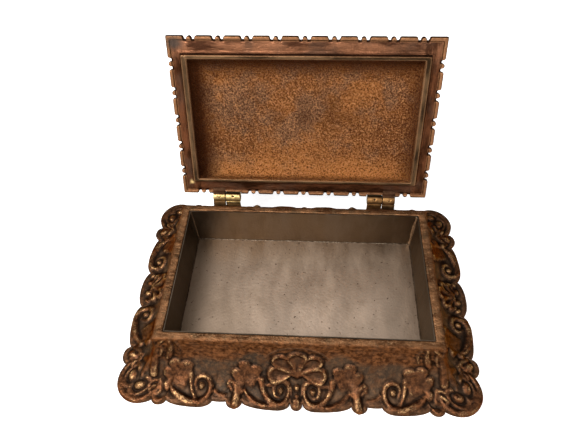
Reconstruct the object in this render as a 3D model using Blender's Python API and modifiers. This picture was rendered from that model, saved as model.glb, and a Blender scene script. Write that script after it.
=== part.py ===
"""Cast trinket box: a coved, scalloped base with a tin liner and a felt foot, and a lid on two pin hinges.

Metres, +Z up, +X to the right, -Y to the front. The origin is the centre of the underside, on the felt.
The lid parts are modelled shut and hang on an empty on the hinge axis, which opens them to the stop.
"""

from math import cos, hypot, pi, radians, sin

import bmesh
import bpy

MM = 0.001

# Driving dimensions
OPENING_W = 150 * MM
OPENING_D = 86 * MM
RIM_W = 160.4 * MM
RIM_D = 95 * MM
RIM_TOP = 34.5 * MM
FOOT_W = 203 * MM
FOOT_D = 138 * MM
FOOT_CORNER = 12 * MM
FOOT_EDGE = 3.2 * MM
COVE_RUN = (FOOT_W - RIM_W) / 2
RIM_STEP = 2 * MM
RIM_LIP = 4 * MM
SKIN = 2.7 * MM
GAP = 0.3 * MM
STACK_GAP = 0.25 * MM

FELT = 0.8 * MM
BOTTOM_PLATE = 0.9 * MM
SHEET = 0.5 * MM
LINER_TOP = RIM_TOP - 0.6 * MM
PLATE_W = 185 * MM
PLATE_D = 120 * MM
PLATE_CORNER = 10 * MM
PLATE_LOW = FELT + STACK_GAP
PLATE_HIGH = PLATE_LOW + BOTTOM_PLATE
SCREW_SEAT = PLATE_HIGH + STACK_GAP
SCREW_X = 84.5 * MM
SCREW_Y = 51.5 * MM
BOSS_TOP = 8.4 * MM

AXIS_Y = 54 * MM
AXIS_Z = 36 * MM
OPEN_ANGLE = 113
BARREL_R = 3.3 * MM
BORE_R = 1.5 * MM
PIN_R = 1.3 * MM
ROUND = 24
STRAP = 1 * MM
STRAP_FACE = AXIS_Y - BARREL_R
STRAP_FOOT = 20.6 * MM
PAD_TOP = 31 * MM
HINGE_SCREW_Z = 25.6 * MM
HEEL_REACH = 7 * MM
HEEL_THICK = 2.4 * MM
TANG_LOW = 36.2 * MM
TANG_HIGH = 37.3 * MM
TANG_END = 44.6 * MM
TANG_HALF = 2.8 * MM
RIVET_Y = 47.2 * MM

LID_W = 159.6 * MM
LID_FRONT = -48.2 * MM
LID_BACK = 51.4 * MM
LID_UNDER = RIM_TOP + GAP
LID_EDGE = 3.8 * MM
RIB_DROP = 2.6 * MM
RIB_W = 143.2 * MM
RIB_FRONT = -38.1 * MM
RIB_BACK = 41.6 * MM
RIB_SIDE_THICK = 3.6 * MM
RIB_FRONT_THICK = 2.4 * MM
RIB_BACK_THICK = 2 * MM

# Base knuckles stand inboard of the lid knuckles, with a running gap between them
BASE_KNUCKLE = (42.1 * MM, 51.7 * MM)
LID_KNUCKLE = (52.0 * MM, 60.0 * MM)

# Lobes of the scalloped foot, from the middle of the front, round the corner, to the middle of the side.
# Each is its start, crest and end along the outline, and its height.
FRONT_RUN = FOOT_W / 2 - FOOT_CORNER
CORNER_RUN = FOOT_CORNER * pi / 2
SIDE_RUN = FOOT_D / 2 - FOOT_CORNER
QUARTER_RUN = FRONT_RUN + CORNER_RUN + SIDE_RUN


def beside(y):
    """Distance along the outline of a point on the side, y from the side's middle."""
    return QUARTER_RUN - y


LOBES = (
    (-3.6 * MM, 0, 3.6 * MM, 3.7 * MM),
    (3.6 * MM, 11 * MM, 31 * MM, 4.0 * MM),
    (31 * MM, 35.6 * MM, 40.2 * MM, 3.9 * MM),
    (40.2 * MM, 44 * MM, 48.5 * MM, 0.5 * MM),
    (48.5 * MM, 57 * MM, 75 * MM, 4.0 * MM),
    (75 * MM, 79 * MM, 83 * MM, 3.5 * MM),
    (83 * MM, FRONT_RUN + CORNER_RUN / 2, beside(50.5 * MM), 3.8 * MM),
    (beside(50.5 * MM), beside(45.2 * MM), beside(40 * MM), 4.2 * MM),
    (beside(40 * MM), beside(22 * MM), beside(12.5 * MM), 4.0 * MM),
    (beside(12.5 * MM), QUARTER_RUN, beside(-12.5 * MM), 4.2 * MM),
)
LOBE_STEP = 2.6 * MM

# Bead-and-reel edge of the lid
BEAD_PITCH = 16.6 * MM
SIDE_BEAD_PITCH = 17 * MM
NOTCH_DEPTH = 2 * MM
BEAD_HALF = ((4.3, 0), (3.6, -1), (2.2, -0.94), (1.2, -0.35))
BEAD_SHAPE = tuple((-along, out) for along, out in BEAD_HALF) + ((0, -0.1),) + BEAD_HALF[::-1]


# Domed top of the lid and the dish under it, as inset from the edge, corner radius and height above the brim
DOME = ((7, 3, 2.5), (7.3, 3, 4.6), (9, 4, 6.6), (13, 5, 8.9), (21, 6, 10.9), (33, 6, 12))
DISH = ((0, 2.5, -4), (0, 2.5, -1.6), (0.8, 3, 1.4), (2.6, 4, 4), (6, 5, 6.1), (13, 6, 7.7), (24, 6, 8.6))


def clear_scene():
    for obj in list(bpy.data.objects):
        bpy.data.objects.remove(obj, do_unlink=True)


def new_collection(name):
    collection = bpy.data.collections.new(name)
    bpy.context.scene.collection.children.link(collection)
    return collection


clear_scene()
PARTS = new_collection("trinket_box")
CUTTERS = new_collection("cutters")


def metal(name, colour, roughness, metallic=1.0):
    material = bpy.data.materials.new(name)
    material.use_nodes = True
    shader = material.node_tree.nodes["Principled BSDF"]
    shader.inputs["Base Color"].default_value = (*colour, 1)
    shader.inputs["Roughness"].default_value = roughness
    shader.inputs["Metallic"].default_value = metallic
    return material


BRONZE = metal("aged_bronze", (0.24, 0.11, 0.05), 0.42)
LID_BRONZE = metal("lid_bronze", (0.30, 0.13, 0.055), 0.42)
TIN = metal("tin_sheet", (0.30, 0.27, 0.23), 0.5)
BRASS = metal("worn_brass", (0.60, 0.40, 0.17), 0.3)
STEEL = metal("screw_steel", (0.32, 0.31, 0.30), 0.4)
PLATE_METAL = metal("bottom_plate_metal", (0.22, 0.20, 0.18), 0.55)
FELT_CLOTH = metal("green_felt", (0.05, 0.09, 0.06), 0.95, 0.0)


def add_object(name, mesh, collection=None):
    obj = bpy.data.objects.new(name, mesh)
    (collection or PARTS).objects.link(obj)
    return obj


def as_part(obj, material):
    obj.data.materials.clear()
    obj.data.materials.append(material)
    return obj


def as_cutter(obj):
    for collection in list(obj.users_collection):
        collection.objects.unlink(obj)
    CUTTERS.objects.link(obj)
    obj.hide_render = True
    obj.display_type = "WIRE"
    return obj


def boolean(obj, other, operation="DIFFERENCE"):
    modifier = obj.modifiers.new(other.name, "BOOLEAN")
    modifier.operation = operation
    modifier.object = as_cutter(other)
    return obj


def mesh_from(bm, name):
    bmesh.ops.recalc_face_normals(bm, faces=bm.faces)
    mesh = bpy.data.meshes.new(name)
    bm.to_mesh(mesh)
    bm.free()
    return mesh


def block(name, low, high):
    """Box between two corners."""
    bm = bmesh.new()
    bmesh.ops.create_cube(bm, size=1)
    for vert in bm.verts:
        vert.co = [low[i] + (vert.co[i] + 0.5) * (high[i] - low[i]) for i in range(3)]
    return add_object(name, mesh_from(bm, name))


def rod(name, radius, start, end, y, z, sides=ROUND):
    """Cylinder along X."""
    bpy.ops.mesh.primitive_cylinder_add(
        vertices=sides,
        radius=radius,
        depth=abs(end - start),
        location=((start + end) / 2, y, z),
        rotation=(0, pi / 2, 0),
    )
    obj = bpy.context.active_object
    obj.name = name
    return smooth_round(to_parts(obj))


def to_parts(obj):
    for collection in list(obj.users_collection):
        collection.objects.unlink(obj)
    PARTS.objects.link(obj)
    return obj


def smooth_round(obj):
    obj.data.shade_smooth()
    obj.data.set_sharp_from_angle(angle=radians(35))
    return obj


def turned(name, profile, location, rotation=(0, 0, 0), sides=ROUND):
    """Solid of revolution about the object's Z, from (radius, height) points down its outer side."""
    mesh = bpy.data.meshes.new(name)
    mesh.from_pydata([(r, 0, z) for r, z in profile], [(i, i + 1) for i in range(len(profile) - 1)], [])
    obj = add_object(name, mesh)
    obj.location = location
    obj.rotation_euler = rotation
    screw = obj.modifiers.new("turn", "SCREW")
    screw.steps = sides
    screw.render_steps = sides
    screw.use_merge_vertices = True
    screw.merge_threshold = 0.00001
    return obj


def corner_point(run, half_w, half_d, radius):
    """Point and outward normal on the front right quarter of a rounded rectangle.

    run goes from 0 to QUARTER_RUN along the foot, and falls at the like place on any other size.
    """
    if run <= FRONT_RUN:
        return (run / FRONT_RUN * (half_w - radius), -half_d, 0, -1)
    if run >= FRONT_RUN + CORNER_RUN:
        return (half_w, -(QUARTER_RUN - run) / SIDE_RUN * (half_d - radius), 1, 0)
    turn = (run - FRONT_RUN) / CORNER_RUN * pi / 2
    normal_x = sin(turn)
    normal_y = -cos(turn)
    x = half_w - radius + radius * normal_x
    y = -half_d + radius + radius * normal_y
    return (x, y, normal_x, normal_y)


def all_round(quarter):
    """Closed outline from the points of its front right quarter, from middle line to middle line."""
    right = quarter + [(x, -y) for x, y in reversed(quarter[:-1])]
    left = [(-x, y) for x, y in reversed(right[1:-1])]
    return right + left


def lobe_height(run):
    for start, crest, end, height in LOBES:
        if start <= run <= end:
            share = (run - crest) / (end - crest if run > crest else crest - start)
            return height * max(0, 1 - abs(share) ** 2.2) ** 0.55
    return 0


def lobe_runs():
    """Places along the quarter outline, closer together where each lobe turns into the notch beside it."""
    runs = set()
    for start, crest, end, _ in LOBES:
        steps = max(5, round((end - start) / LOBE_STEP))
        for step in range(steps + 1):
            turn = (step / steps * 2 - 1) * pi / 2
            run = crest + sin(turn) * (end - crest if turn > 0 else crest - start)
            runs.add(round(min(max(run, 0), QUARTER_RUN), 6))
    return sorted(runs)


RUNS = lobe_runs()


def foot_ring(half_w, half_d, radius, lobes, height):
    """Ring of the base casting at one height, with a share of the lobes' height."""
    quarter = []
    for run in RUNS:
        x, y, normal_x, normal_y = corner_point(run, half_w, half_d, radius)
        out = lobes * lobe_height(run)
        quarter.append((x + normal_x * out, y + normal_y * out))
    return [(x, y, height) for x, y in all_round(quarter)]


def ring_loft(name, rings):
    """Closed tube through rings that each go round the opening."""
    bm = bmesh.new()
    levels = [[bm.verts.new(point) for point in ring] for ring in rings]
    count = len(rings[0])
    for level, below in zip(levels, levels[1:] + levels[:1]):
        for i in range(count):
            j = (i + 1) % count
            bm.faces.new((level[i], level[j], below[j], below[i]))
    return add_object(name, mesh_from(bm, name))


def cove(share):
    """Outward run and height of the coved side, a quarter ellipse: share 0 at the rim, 1 at the foot."""
    turn = share * pi / 2
    top = RIM_TOP - RIM_STEP
    return (1 - cos(turn)) * COVE_RUN, top - sin(turn) * (top - FOOT_EDGE), cos(turn), sin(turn)


def cove_ring(share, depth=0, lobes=0):
    run, height, flat, steep = cove(share)
    size = hypot(flat, steep * COVE_RUN / (RIM_TOP - FOOT_EDGE))
    run -= depth * flat / size
    height -= depth * steep / size
    radius = max(1 * MM, 1.2 * MM + (FOOT_CORNER - 1.2 * MM) * run / COVE_RUN)
    return foot_ring(RIM_W / 2 + run, RIM_D / 2 + run, radius, lobes, height)


def base_casting():
    half_w = RIM_W / 2
    half_d = RIM_D / 2
    edge = 0.4 * MM
    seat_w = PLATE_W / 2 + 2 * MM
    seat_d = PLATE_D / 2 + 2 * MM
    rings = [
        foot_ring(OPENING_W / 2, OPENING_D / 2, 0.8 * MM, 0, RIM_TOP - RIM_LIP),
        foot_ring(OPENING_W / 2, OPENING_D / 2, 0.8 * MM, 0, RIM_TOP),
        foot_ring(half_w - edge, half_d - edge, 1 * MM, 0, RIM_TOP),
        foot_ring(half_w, half_d, 1.2 * MM, 0, RIM_TOP - edge),
        foot_ring(half_w, half_d, 1.2 * MM, 0, RIM_TOP - RIM_STEP),
    ]
    for share, lobes in ((0.16, 0), (0.32, 0), (0.48, 0.1), (0.64, 0.35), (0.82, 0.8), (1, 1)):
        rings.append(cove_ring(share, 0, lobes))
    rings.append(foot_ring(FOOT_W / 2 + edge, FOOT_D / 2 + edge, FOOT_CORNER, 1, FOOT_EDGE / 2))
    rings.append(foot_ring(FOOT_W / 2 - edge, FOOT_D / 2 - edge, FOOT_CORNER, 1, 0))
    rings.append(foot_ring(seat_w, seat_d, PLATE_CORNER, 0, 0))
    rings.append(foot_ring(seat_w, seat_d, PLATE_CORNER, 0, 2.4 * MM))
    for share in (0.5, 0.35, 0.18, 0.04):
        rings.append(cove_ring(share, SKIN))
    casting = ring_loft("base_casting", rings)
    flat = casting.modifiers.new("flat_faces", "DECIMATE")
    flat.decimate_type = "DISSOLVE"
    flat.angle_limit = radians(0.4)
    return as_part(casting, BRONZE)


def rectangle(half_w, front, back, radius, steps=4):
    """Rounded rectangle as a closed list of (x, y)."""
    points = []
    for turn, x, y in ((0, half_w, back), (1, -half_w, back), (2, -half_w, front), (3, half_w, front)):
        centre_x = x - radius * (1 if x > 0 else -1)
        centre_y = y - radius * (1 if y == back else -1)
        for step in range(steps + 1):
            angle = (turn + step / steps) * pi / 2
            points.append((centre_x + radius * cos(angle), centre_y + radius * sin(angle)))
    return points


def slab(name, outline, low, high):
    """Flat plate from a filled 2D curve, made a mesh so that it can be cut."""
    curve = bpy.data.curves.new(name, "CURVE")
    curve.dimensions = "2D"
    curve.fill_mode = "BOTH"
    curve.extrude = (high - low) / 2
    spline = curve.splines.new("POLY")
    spline.points.add(len(outline) - 1)
    for point, (x, y) in zip(spline.points, outline):
        point.co = (x, y, 0, 1)
    spline.use_cyclic_u = True
    guide = bpy.data.objects.new(name + "_outline", curve)
    guide.location = (0, 0, (low + high) / 2)
    CUTTERS.objects.link(guide)
    bpy.context.view_layer.update()
    solid = bpy.data.meshes.new_from_object(guide.evaluated_get(bpy.context.evaluated_depsgraph_get()))
    bm = bmesh.new()
    bm.from_mesh(solid)
    bm.transform(guide.matrix_world)
    bmesh.ops.remove_doubles(bm, verts=bm.verts, dist=0.000001)
    bmesh.ops.dissolve_limit(bm, angle_limit=radians(0.1), verts=bm.verts, edges=bm.edges)
    bpy.data.objects.remove(guide)
    return add_object(name, mesh_from(bm, name))


def stack(name, sections):
    """Solid lofted through rounded rectangles, each half width, front, back, corner radius and height."""
    bm = bmesh.new()
    levels = []
    for half_w, front, back, radius, height in sections:
        outline = rectangle(half_w, front, back, radius)
        levels.append([bm.verts.new((x, y, height)) for x, y in outline])
    for level, above in zip(levels, levels[1:]):
        for i, vert in enumerate(level):
            j = (i + 1) % len(level)
            bm.faces.new((vert, level[j], above[j], above[i]))
    bm.faces.new(reversed(levels[0]))
    bm.faces.new(levels[-1])
    return add_object(name, mesh_from(bm, name))


def screw_boss(casting, name, x, y):
    """Round boss under the cove, bored for a bottom screw."""
    shape = ((0, BOSS_TOP), (3.4 * MM, BOSS_TOP), (3.4 * MM, SCREW_SEAT), (0, SCREW_SEAT))
    boolean(casting, turned(name + "_boss", shape, (x, y, 0)), "UNION")
    bore = turned(name + "_bore", ((0, 6.8 * MM), (1.3 * MM, 6.8 * MM), (1.3 * MM, 0), (0, 0)), (x, y, 0))
    boolean(casting, bore)


def bottom(casting):
    """Felt, bottom plate and its four countersunk screws."""
    half_w = PLATE_W / 2
    half_d = PLATE_D / 2
    as_part(slab("felt_pad", rectangle(half_w, -half_d, half_d, PLATE_CORNER), 0, FELT), FELT_CLOTH)
    outline = rectangle(half_w, -half_d, half_d, PLATE_CORNER)
    plate = as_part(slab("bottom_plate", outline, PLATE_LOW, PLATE_HIGH), PLATE_METAL)
    places = ((-1, -1), (1, -1), (1, 1), (-1, 1))
    for number, (side_x, side_y) in enumerate(places, 1):
        name = f"bottom_screw_{number}"
        x = side_x * SCREW_X
        y = side_y * SCREW_Y
        head = PLATE_LOW + 0.05 * MM
        neck = head + 0.9 * MM
        tip = 6.2 * MM
        shape = ((0, tip), (1 * MM, tip), (1 * MM, neck), (2.1 * MM, head), (0, head))
        as_part(turned(name, shape, (x, y, 0)), STEEL)
        wide = ((0, 3 * MM), (1.4 * MM, 3 * MM), (1.4 * MM, neck), (2.7 * MM, 0.9 * MM), (0, 0.9 * MM))
        boolean(plate, turned(name + "_sink", wide, (x, y, 0)))
        screw_boss(casting, name, x, y)


def liner():
    """Open tray of soldered tin: four walls with a floor let in between them."""
    half_w = OPENING_W / 2 - GAP
    half_d = OPENING_D / 2 - GAP
    foot = PLATE_HIGH + STACK_GAP
    inner_w = half_w - SHEET - STACK_GAP
    inner_d = half_d - SHEET - STACK_GAP
    as_part(block("liner_floor", (-inner_w, -inner_d, foot), (inner_w, inner_d, foot + SHEET)), TIN)
    for name, side in (("liner_wall_front", -1), ("liner_wall_back", 1)):
        low, high = across(side, half_d - SHEET, half_d)
        as_part(block(name, (-half_w, low, foot), (half_w, high, LINER_TOP)), TIN)
    for name, side in (("liner_wall_left", -1), ("liner_wall_right", 1)):
        low, high = across(side, half_w - SHEET, half_w)
        as_part(block(name, (low, -inner_d, foot), (high, inner_d, LINER_TOP)), TIN)


def across(side, start, end):
    """The two ends, lower first, of a span given outward from the middle."""
    return sorted((side * start, side * end))


def base_hinge(casting, hand, side):
    """Barrel with its strap on the back of the base, the pad it stands on, two screws and the pin."""
    left, right = across(side, *BASE_KNUCKLE)
    middle = (left + right) / 2
    name = f"hinge_base_knuckle_{hand}"
    knuckle = as_part(rod(name, BARREL_R, left, right, AXIS_Y, AXIS_Z), BRASS)
    strap = block(name + "_strap", (left, STRAP_FACE, STRAP_FOOT), (right, STRAP_FACE + STRAP, AXIS_Z))
    boolean(knuckle, strap, "UNION")
    boolean(knuckle, rod(name + "_bore", BORE_R, left - 1 * MM, right + 1 * MM, AXIS_Y, AXIS_Z))
    pad_left, pad_right = across(side, BASE_KNUCKLE[0] - 0.5 * MM, BASE_KNUCKLE[1])
    pad_low = (pad_left, RIM_D / 2 - 1.5 * MM, STRAP_FOOT - 1 * MM)
    pad_high = (pad_right, STRAP_FACE - GAP, PAD_TOP)
    boolean(casting, block(name + "_pad", pad_low, pad_high), "UNION")
    for place, offset in (("inner", -2.2 * MM), ("outer", 2.2 * MM)):
        x = middle + side * offset
        screw = f"hinge_base_screw_{hand}_{place}"
        back = STRAP_FACE + STRAP + GAP
        turn = (pi / 2, 0, 0)
        shank = ((0, 4.8 * MM), (0.9 * MM, 4.8 * MM), (0.9 * MM, 0))
        shape = (*shank, (1.8 * MM, 0), (1.5 * MM, -0.9 * MM), (0, -1.1 * MM))
        as_part(turned(screw, shape, (x, back, HINGE_SCREW_Z), turn, 16), STEEL)
        bore = ((0, 5.1 * MM), (1.2 * MM, 5.1 * MM), (1.2 * MM, -1 * MM), (0, -1 * MM))
        boolean(casting, turned(screw + "_bore", bore, (x, back, HINGE_SCREW_Z), turn, 16))
        boolean(knuckle, turned(screw + "_hole", bore, (x, back, HINGE_SCREW_Z), turn, 16))
    pin_left, pin_right = across(side, BASE_KNUCKLE[0] + 0.4 * MM, LID_KNUCKLE[1] - 0.4 * MM)
    as_part(rod(f"hinge_pin_{hand}", PIN_R, pin_left, pin_right, AXIS_Y, AXIS_Z), BRASS)


def lid_hinge(casting, hand, side):
    """Barrel with a heel that stops the lid and a tang let into the lid's edge, and its rivet."""
    left, right = across(side, *LID_KNUCKLE)
    middle = (left + right) / 2
    name = f"hinge_lid_knuckle_{hand}"
    under = AXIS_Z - BARREL_R
    knuckle = as_part(rod(name, BARREL_R, left, right, AXIS_Y, AXIS_Z), BRASS)
    heel = ((left, AXIS_Y, under), (right, AXIS_Y + HEEL_REACH, under + HEEL_THICK))
    boolean(knuckle, block(name + "_heel", *heel), "UNION")
    tang = ((middle - TANG_HALF, TANG_END, TANG_LOW), (middle + TANG_HALF, AXIS_Y, TANG_HIGH))
    boolean(knuckle, block(name + "_tang", *tang), "UNION")
    boolean(knuckle, rod(name + "_bore", BORE_R, left - 1 * MM, right + 1 * MM, AXIS_Y, AXIS_Z))
    lug_low = (left, 47 * MM, LID_UNDER - 1.2 * MM)
    lug = block(name + "_lug", lug_low, (right, 51.6 * MM, LID_UNDER + LID_EDGE))
    cut_high = (right + 1 * MM, 49.4 * MM, LID_UNDER)
    boolean(lug, block(name + "_relief", (left - 1 * MM, 40 * MM, 30 * MM), cut_high))
    boolean(casting, lug, "UNION")
    boolean(casting, rod(name + "_saddle", BARREL_R + GAP, left - 1 * MM, right + 1 * MM, AXIS_Y, AXIS_Z))
    slot_low = (middle - TANG_HALF - GAP, TANG_END - GAP, TANG_LOW - GAP)
    slot_high = (middle + TANG_HALF + GAP, AXIS_Y, TANG_HIGH + GAP)
    boolean(casting, block(name + "_slot", slot_low, slot_high))
    top = LID_UNDER + LID_EDGE
    foot = TANG_LOW - 0.5 * MM
    head = ((0, top + 1 * MM), (1.2 * MM, top + 0.7 * MM), (1.5 * MM, top + GAP))
    shape = (*head, (0.8 * MM, top + GAP), (0.8 * MM, foot), (0, foot))
    rivet = as_part(turned(f"hinge_lid_rivet_{hand}", shape, (middle, RIVET_Y, 0), sides=16), BRASS)
    bore = ((0, top + 1 * MM), (1.1 * MM, top + 1 * MM), (1.1 * MM, foot - GAP), (0, foot - GAP))
    boolean(casting, turned(name + "_rivet_bore", bore, (middle, RIVET_Y, 0), sides=16))
    boolean(knuckle, turned(name + "_rivet_hole", bore, (middle, RIVET_Y, 0), sides=16))
    return [knuckle, rivet]


def bead_run(centres, skip=()):
    """Points along one edge, each its place along the edge and its distance out from it.

    The hand-filed notches differ a little in depth.
    """
    run = []
    for number, centre in enumerate(centres):
        depth = NOTCH_DEPTH * (1 + 0.05 * sin(number * 2.3 + 0.4))
        if centre not in skip:
            run += [(centre + along * MM, out * depth) for along, out in BEAD_SHAPE]
    return run


def hinge_recess(side):
    """Cut in the back edge that clears the base knuckle."""
    near, far = across(side, BASE_KNUCKLE[0] - 0.6 * MM, BASE_KNUCKLE[1] + 0.3 * MM)
    depth = AXIS_Y - BARREL_R - 0.5 * MM - LID_BACK
    return [(near, 0), (near, depth), (far, depth), (far, 0)]


def lid_outline():
    half_w = LID_W / 2
    middle = (LID_FRONT + LID_BACK) / 2
    long_beads = [BEAD_PITCH * i for i in range(-4, 5)]
    side_beads = [middle + SIDE_BEAD_PITCH * i for i in range(-2, 3)]
    covered = (long_beads[1], long_beads[-2])
    front = [(x, LID_FRONT - out) for x, out in bead_run(long_beads)]
    right = [(half_w + out, y) for y, out in bead_run(side_beads)]
    back_run = bead_run(long_beads, covered) + hinge_recess(-1) + hinge_recess(1)
    back_run.sort(key=lambda point: point[0])
    back = [(x, LID_BACK + out) for x, out in reversed(back_run)]
    left = [(-x, y) for x, y in reversed(right)]
    corners = [(half_w, LID_FRONT), (half_w, LID_BACK), (-half_w, LID_BACK), (-half_w, LID_FRONT)]
    return front + corners[:1] + right + corners[1:2] + back + corners[2:3] + left + corners[3:]


def lid():
    half_w = LID_W / 2
    casting = as_part(slab("lid_casting", lid_outline(), LID_UNDER, LID_UNDER + LID_EDGE), LID_BRONZE)
    dome = [
        (
            half_w - inset * MM,
            LID_FRONT + inset * MM,
            LID_BACK - inset * MM,
            radius * MM,
            LID_UNDER + rise * MM,
        )
        for inset, radius, rise in DOME
    ]
    boolean(casting, stack("lid_dome", dome), "UNION")
    rib = [
        (RIB_W / 2, RIB_FRONT, RIB_BACK, 2 * MM, LID_UNDER - RIB_DROP),
        (RIB_W / 2, RIB_FRONT, RIB_BACK, 2 * MM, LID_UNDER + 1 * MM),
    ]
    boolean(casting, stack("lid_rib", rib), "UNION")
    dish = [
        (
            RIB_W / 2 - RIB_SIDE_THICK - inset * MM,
            RIB_FRONT + RIB_FRONT_THICK + inset * MM,
            RIB_BACK - RIB_BACK_THICK - inset * MM,
            radius * MM,
            LID_UNDER + rise * MM,
        )
        for inset, radius, rise in DISH
    ]
    boolean(casting, stack("lid_dish", dish))
    moving = [casting]
    for hand, side in (("left", -1), ("right", 1)):
        moving += lid_hinge(casting, hand, side)
    return moving


def hang_lid(moving):
    """Puts the lid's parts and their cutters on the hinge axis, then opens it to the stop."""
    hinge = bpy.data.objects.new("lid_hinge_axis", None)
    PARTS.objects.link(hinge)
    hinge.location = (0, AXIS_Y, AXIS_Z)
    bpy.context.view_layer.update()
    hanging = set(moving)
    waiting = list(moving)
    while waiting:
        for modifier in waiting.pop().modifiers:
            if modifier.type == "BOOLEAN" and modifier.object not in hanging:
                hanging.add(modifier.object)
                waiting.append(modifier.object)
    for obj in hanging:
        obj.parent = hinge
        obj.matrix_parent_inverse = hinge.matrix_world.inverted()
    hinge.rotation_euler = (radians(-OPEN_ANGLE), 0, 0)


def main():
    casting = base_casting()
    bottom(casting)
    liner()
    for hand, side in (("left", -1), ("right", 1)):
        base_hinge(casting, hand, side)
    hang_lid(lid())


main()
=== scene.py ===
"""Looks of the cast trinket box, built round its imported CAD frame.

The relief of the two castings is real geometry: each is a grid of rings whose points are moved by a height
field made of beads, scrolls, leaves and bark. Lengths are in millimetres until a mesh is made.
"""

import math

import bmesh
import bpy
import numpy as np
from mathutils import Matrix, Vector


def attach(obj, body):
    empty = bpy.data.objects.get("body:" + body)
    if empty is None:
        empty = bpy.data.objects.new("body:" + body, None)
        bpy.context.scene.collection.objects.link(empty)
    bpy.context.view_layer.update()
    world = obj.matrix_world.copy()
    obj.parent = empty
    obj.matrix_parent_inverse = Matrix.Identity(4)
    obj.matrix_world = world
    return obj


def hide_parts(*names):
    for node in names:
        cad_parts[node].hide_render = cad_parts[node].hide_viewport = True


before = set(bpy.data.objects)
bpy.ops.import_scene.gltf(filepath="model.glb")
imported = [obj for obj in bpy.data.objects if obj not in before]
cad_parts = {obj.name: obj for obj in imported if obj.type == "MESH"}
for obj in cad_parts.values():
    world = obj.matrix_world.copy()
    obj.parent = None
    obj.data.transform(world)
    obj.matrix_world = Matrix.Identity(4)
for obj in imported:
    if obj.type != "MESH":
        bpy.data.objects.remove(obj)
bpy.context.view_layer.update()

MM = 0.001

# The base casting, as in the CAD model
OPENING = (75, 43)
RIM = (80.2, 47.5)
RIM_TOP = 34.5
RIM_STEP = 2
COVE_RUN = 21.3
COVE_TOP = RIM_TOP - RIM_STEP
FOOT = (101.5, 69)
FOOT_EDGE = 3.2
FOOT_CORNER = 12
COVE_DROP = COVE_TOP - FOOT_EDGE
COVE_ROWS = 76
# Rounded edge of the foot as (distance out, height, share of the relief)
FOOT_ROLL = ((0.28, 2.7, 0.7), (0.4, 1.9, 0.45), (0.4, 1.2, 0.3), (0.15, 0.5, 0.1), (-0.3, 0.05, 0))
SKIN = 2.7
SEAT = (94.5, 62)
LINER_GAP = 0.3
SHEET = 0.5
LINER_FLOOR = 2.72
LINER_TOP = 33.7

# Places round a quarter of the foot, from the middle of the front to the middle of the side
FRONT_RUN = FOOT[0] - FOOT_CORNER
CORNER_RUN = FOOT_CORNER * math.pi / 2
SIDE_RUN = FOOT[1] - FOOT_CORNER
QUARTER_RUN = FRONT_RUN + CORNER_RUN + SIDE_RUN
MITRE_RUN = FRONT_RUN + CORNER_RUN / 2

# The lid, shut, and the hinge line that it opens about
LID_HALF = 79.8
LID_FRONT = -48.2
LID_BACK = 51.4
LID_UNDER = 34.8
LID_EDGE = 3.8
RIB = (71.6, -38.1, 41.6)
RIB_THICK = (3.6, 2.4, 2)
RIB_DROP = 2.6
AXIS_Y = 54
AXIS_Z = 36
OPEN_ANGLE = 113
BARREL_R = 3.3
BORE_R = 1.5
BASE_KNUCKLE = (42.1, 51.7)
LID_KNUCKLE = (52.0, 60.0)


def beside(y):
    """Place on the side panel, given its distance from the middle of the side."""
    return QUARTER_RUN - y


# Lobes of the foot as (start, crest, end, how far they stand out)
LOBES = (
    (-3.6, 0, 3.6, 3.7),
    (3.6, 11, 31, 4.0),
    (31, 35.6, 40.2, 3.9),
    (40.2, 44, 48.5, 0.5),
    (48.5, 57, 75, 4.0),
    (75, 79, 83, 3.5),
    (83, MITRE_RUN, beside(50.5), 3.8),
    (beside(50.5), beside(45.2), beside(40), 4.2),
    (beside(40), beside(22), beside(12.5), 4.0),
    (beside(12.5), QUARTER_RUN, beside(-12.5), 4.2),
)


# ---------------------------------------------------------------- height fields

def unit(value):
    """A value held between 0 and 1."""
    return np.clip(value, 0, 1)


def eased(share):
    """A share from 0 to 1 that starts and ends gently."""
    return share * share * (3 - 2 * share)


def bell(off):
    """1 in the middle, falling away on both sides over a distance of about 1."""
    return np.exp(-(off**2))


def value_noise(x, y, size, seed=0):
    """Smooth noise from -1 to 1 over cells of one size."""
    grid_x = np.asarray(x) / size
    grid_y = np.asarray(y) / size
    cell_x = np.floor(grid_x)
    cell_y = np.floor(grid_y)
    part_x = eased(grid_x - cell_x)
    part_y = eased(grid_y - cell_y)

    def at(step_x, step_y):
        mixed = np.sin((cell_x + step_x) * 127.1 + (cell_y + step_y) * 311.7 + seed * 74.7) * 43758.5453
        return (mixed - np.floor(mixed)) * 2 - 1

    low = at(0, 0) * (1 - part_x) + at(1, 0) * part_x
    high = at(0, 1) * (1 - part_x) + at(1, 1) * part_x
    return low * (1 - part_y) + high * part_y


def flowing(points, steps=7):
    """Points along a Catmull-Rom curve through the given tuples."""
    knots = np.array(points, float)
    knots = np.vstack([2 * knots[0] - knots[1], knots, 2 * knots[-1] - knots[-2]])
    made = []
    for i in range(1, len(knots) - 2):
        before, start, end, after = knots[i - 1 : i + 3]
        square = 2 * before - 5 * start + 4 * end - after
        cube = 3 * start - before - 3 * end + after
        for t in np.arange(steps) / steps:
            made.append(0.5 * (2 * start + (end - before) * t + square * t * t + cube * t**3))
    made.append(knots[-2])
    return np.array(made)


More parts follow.
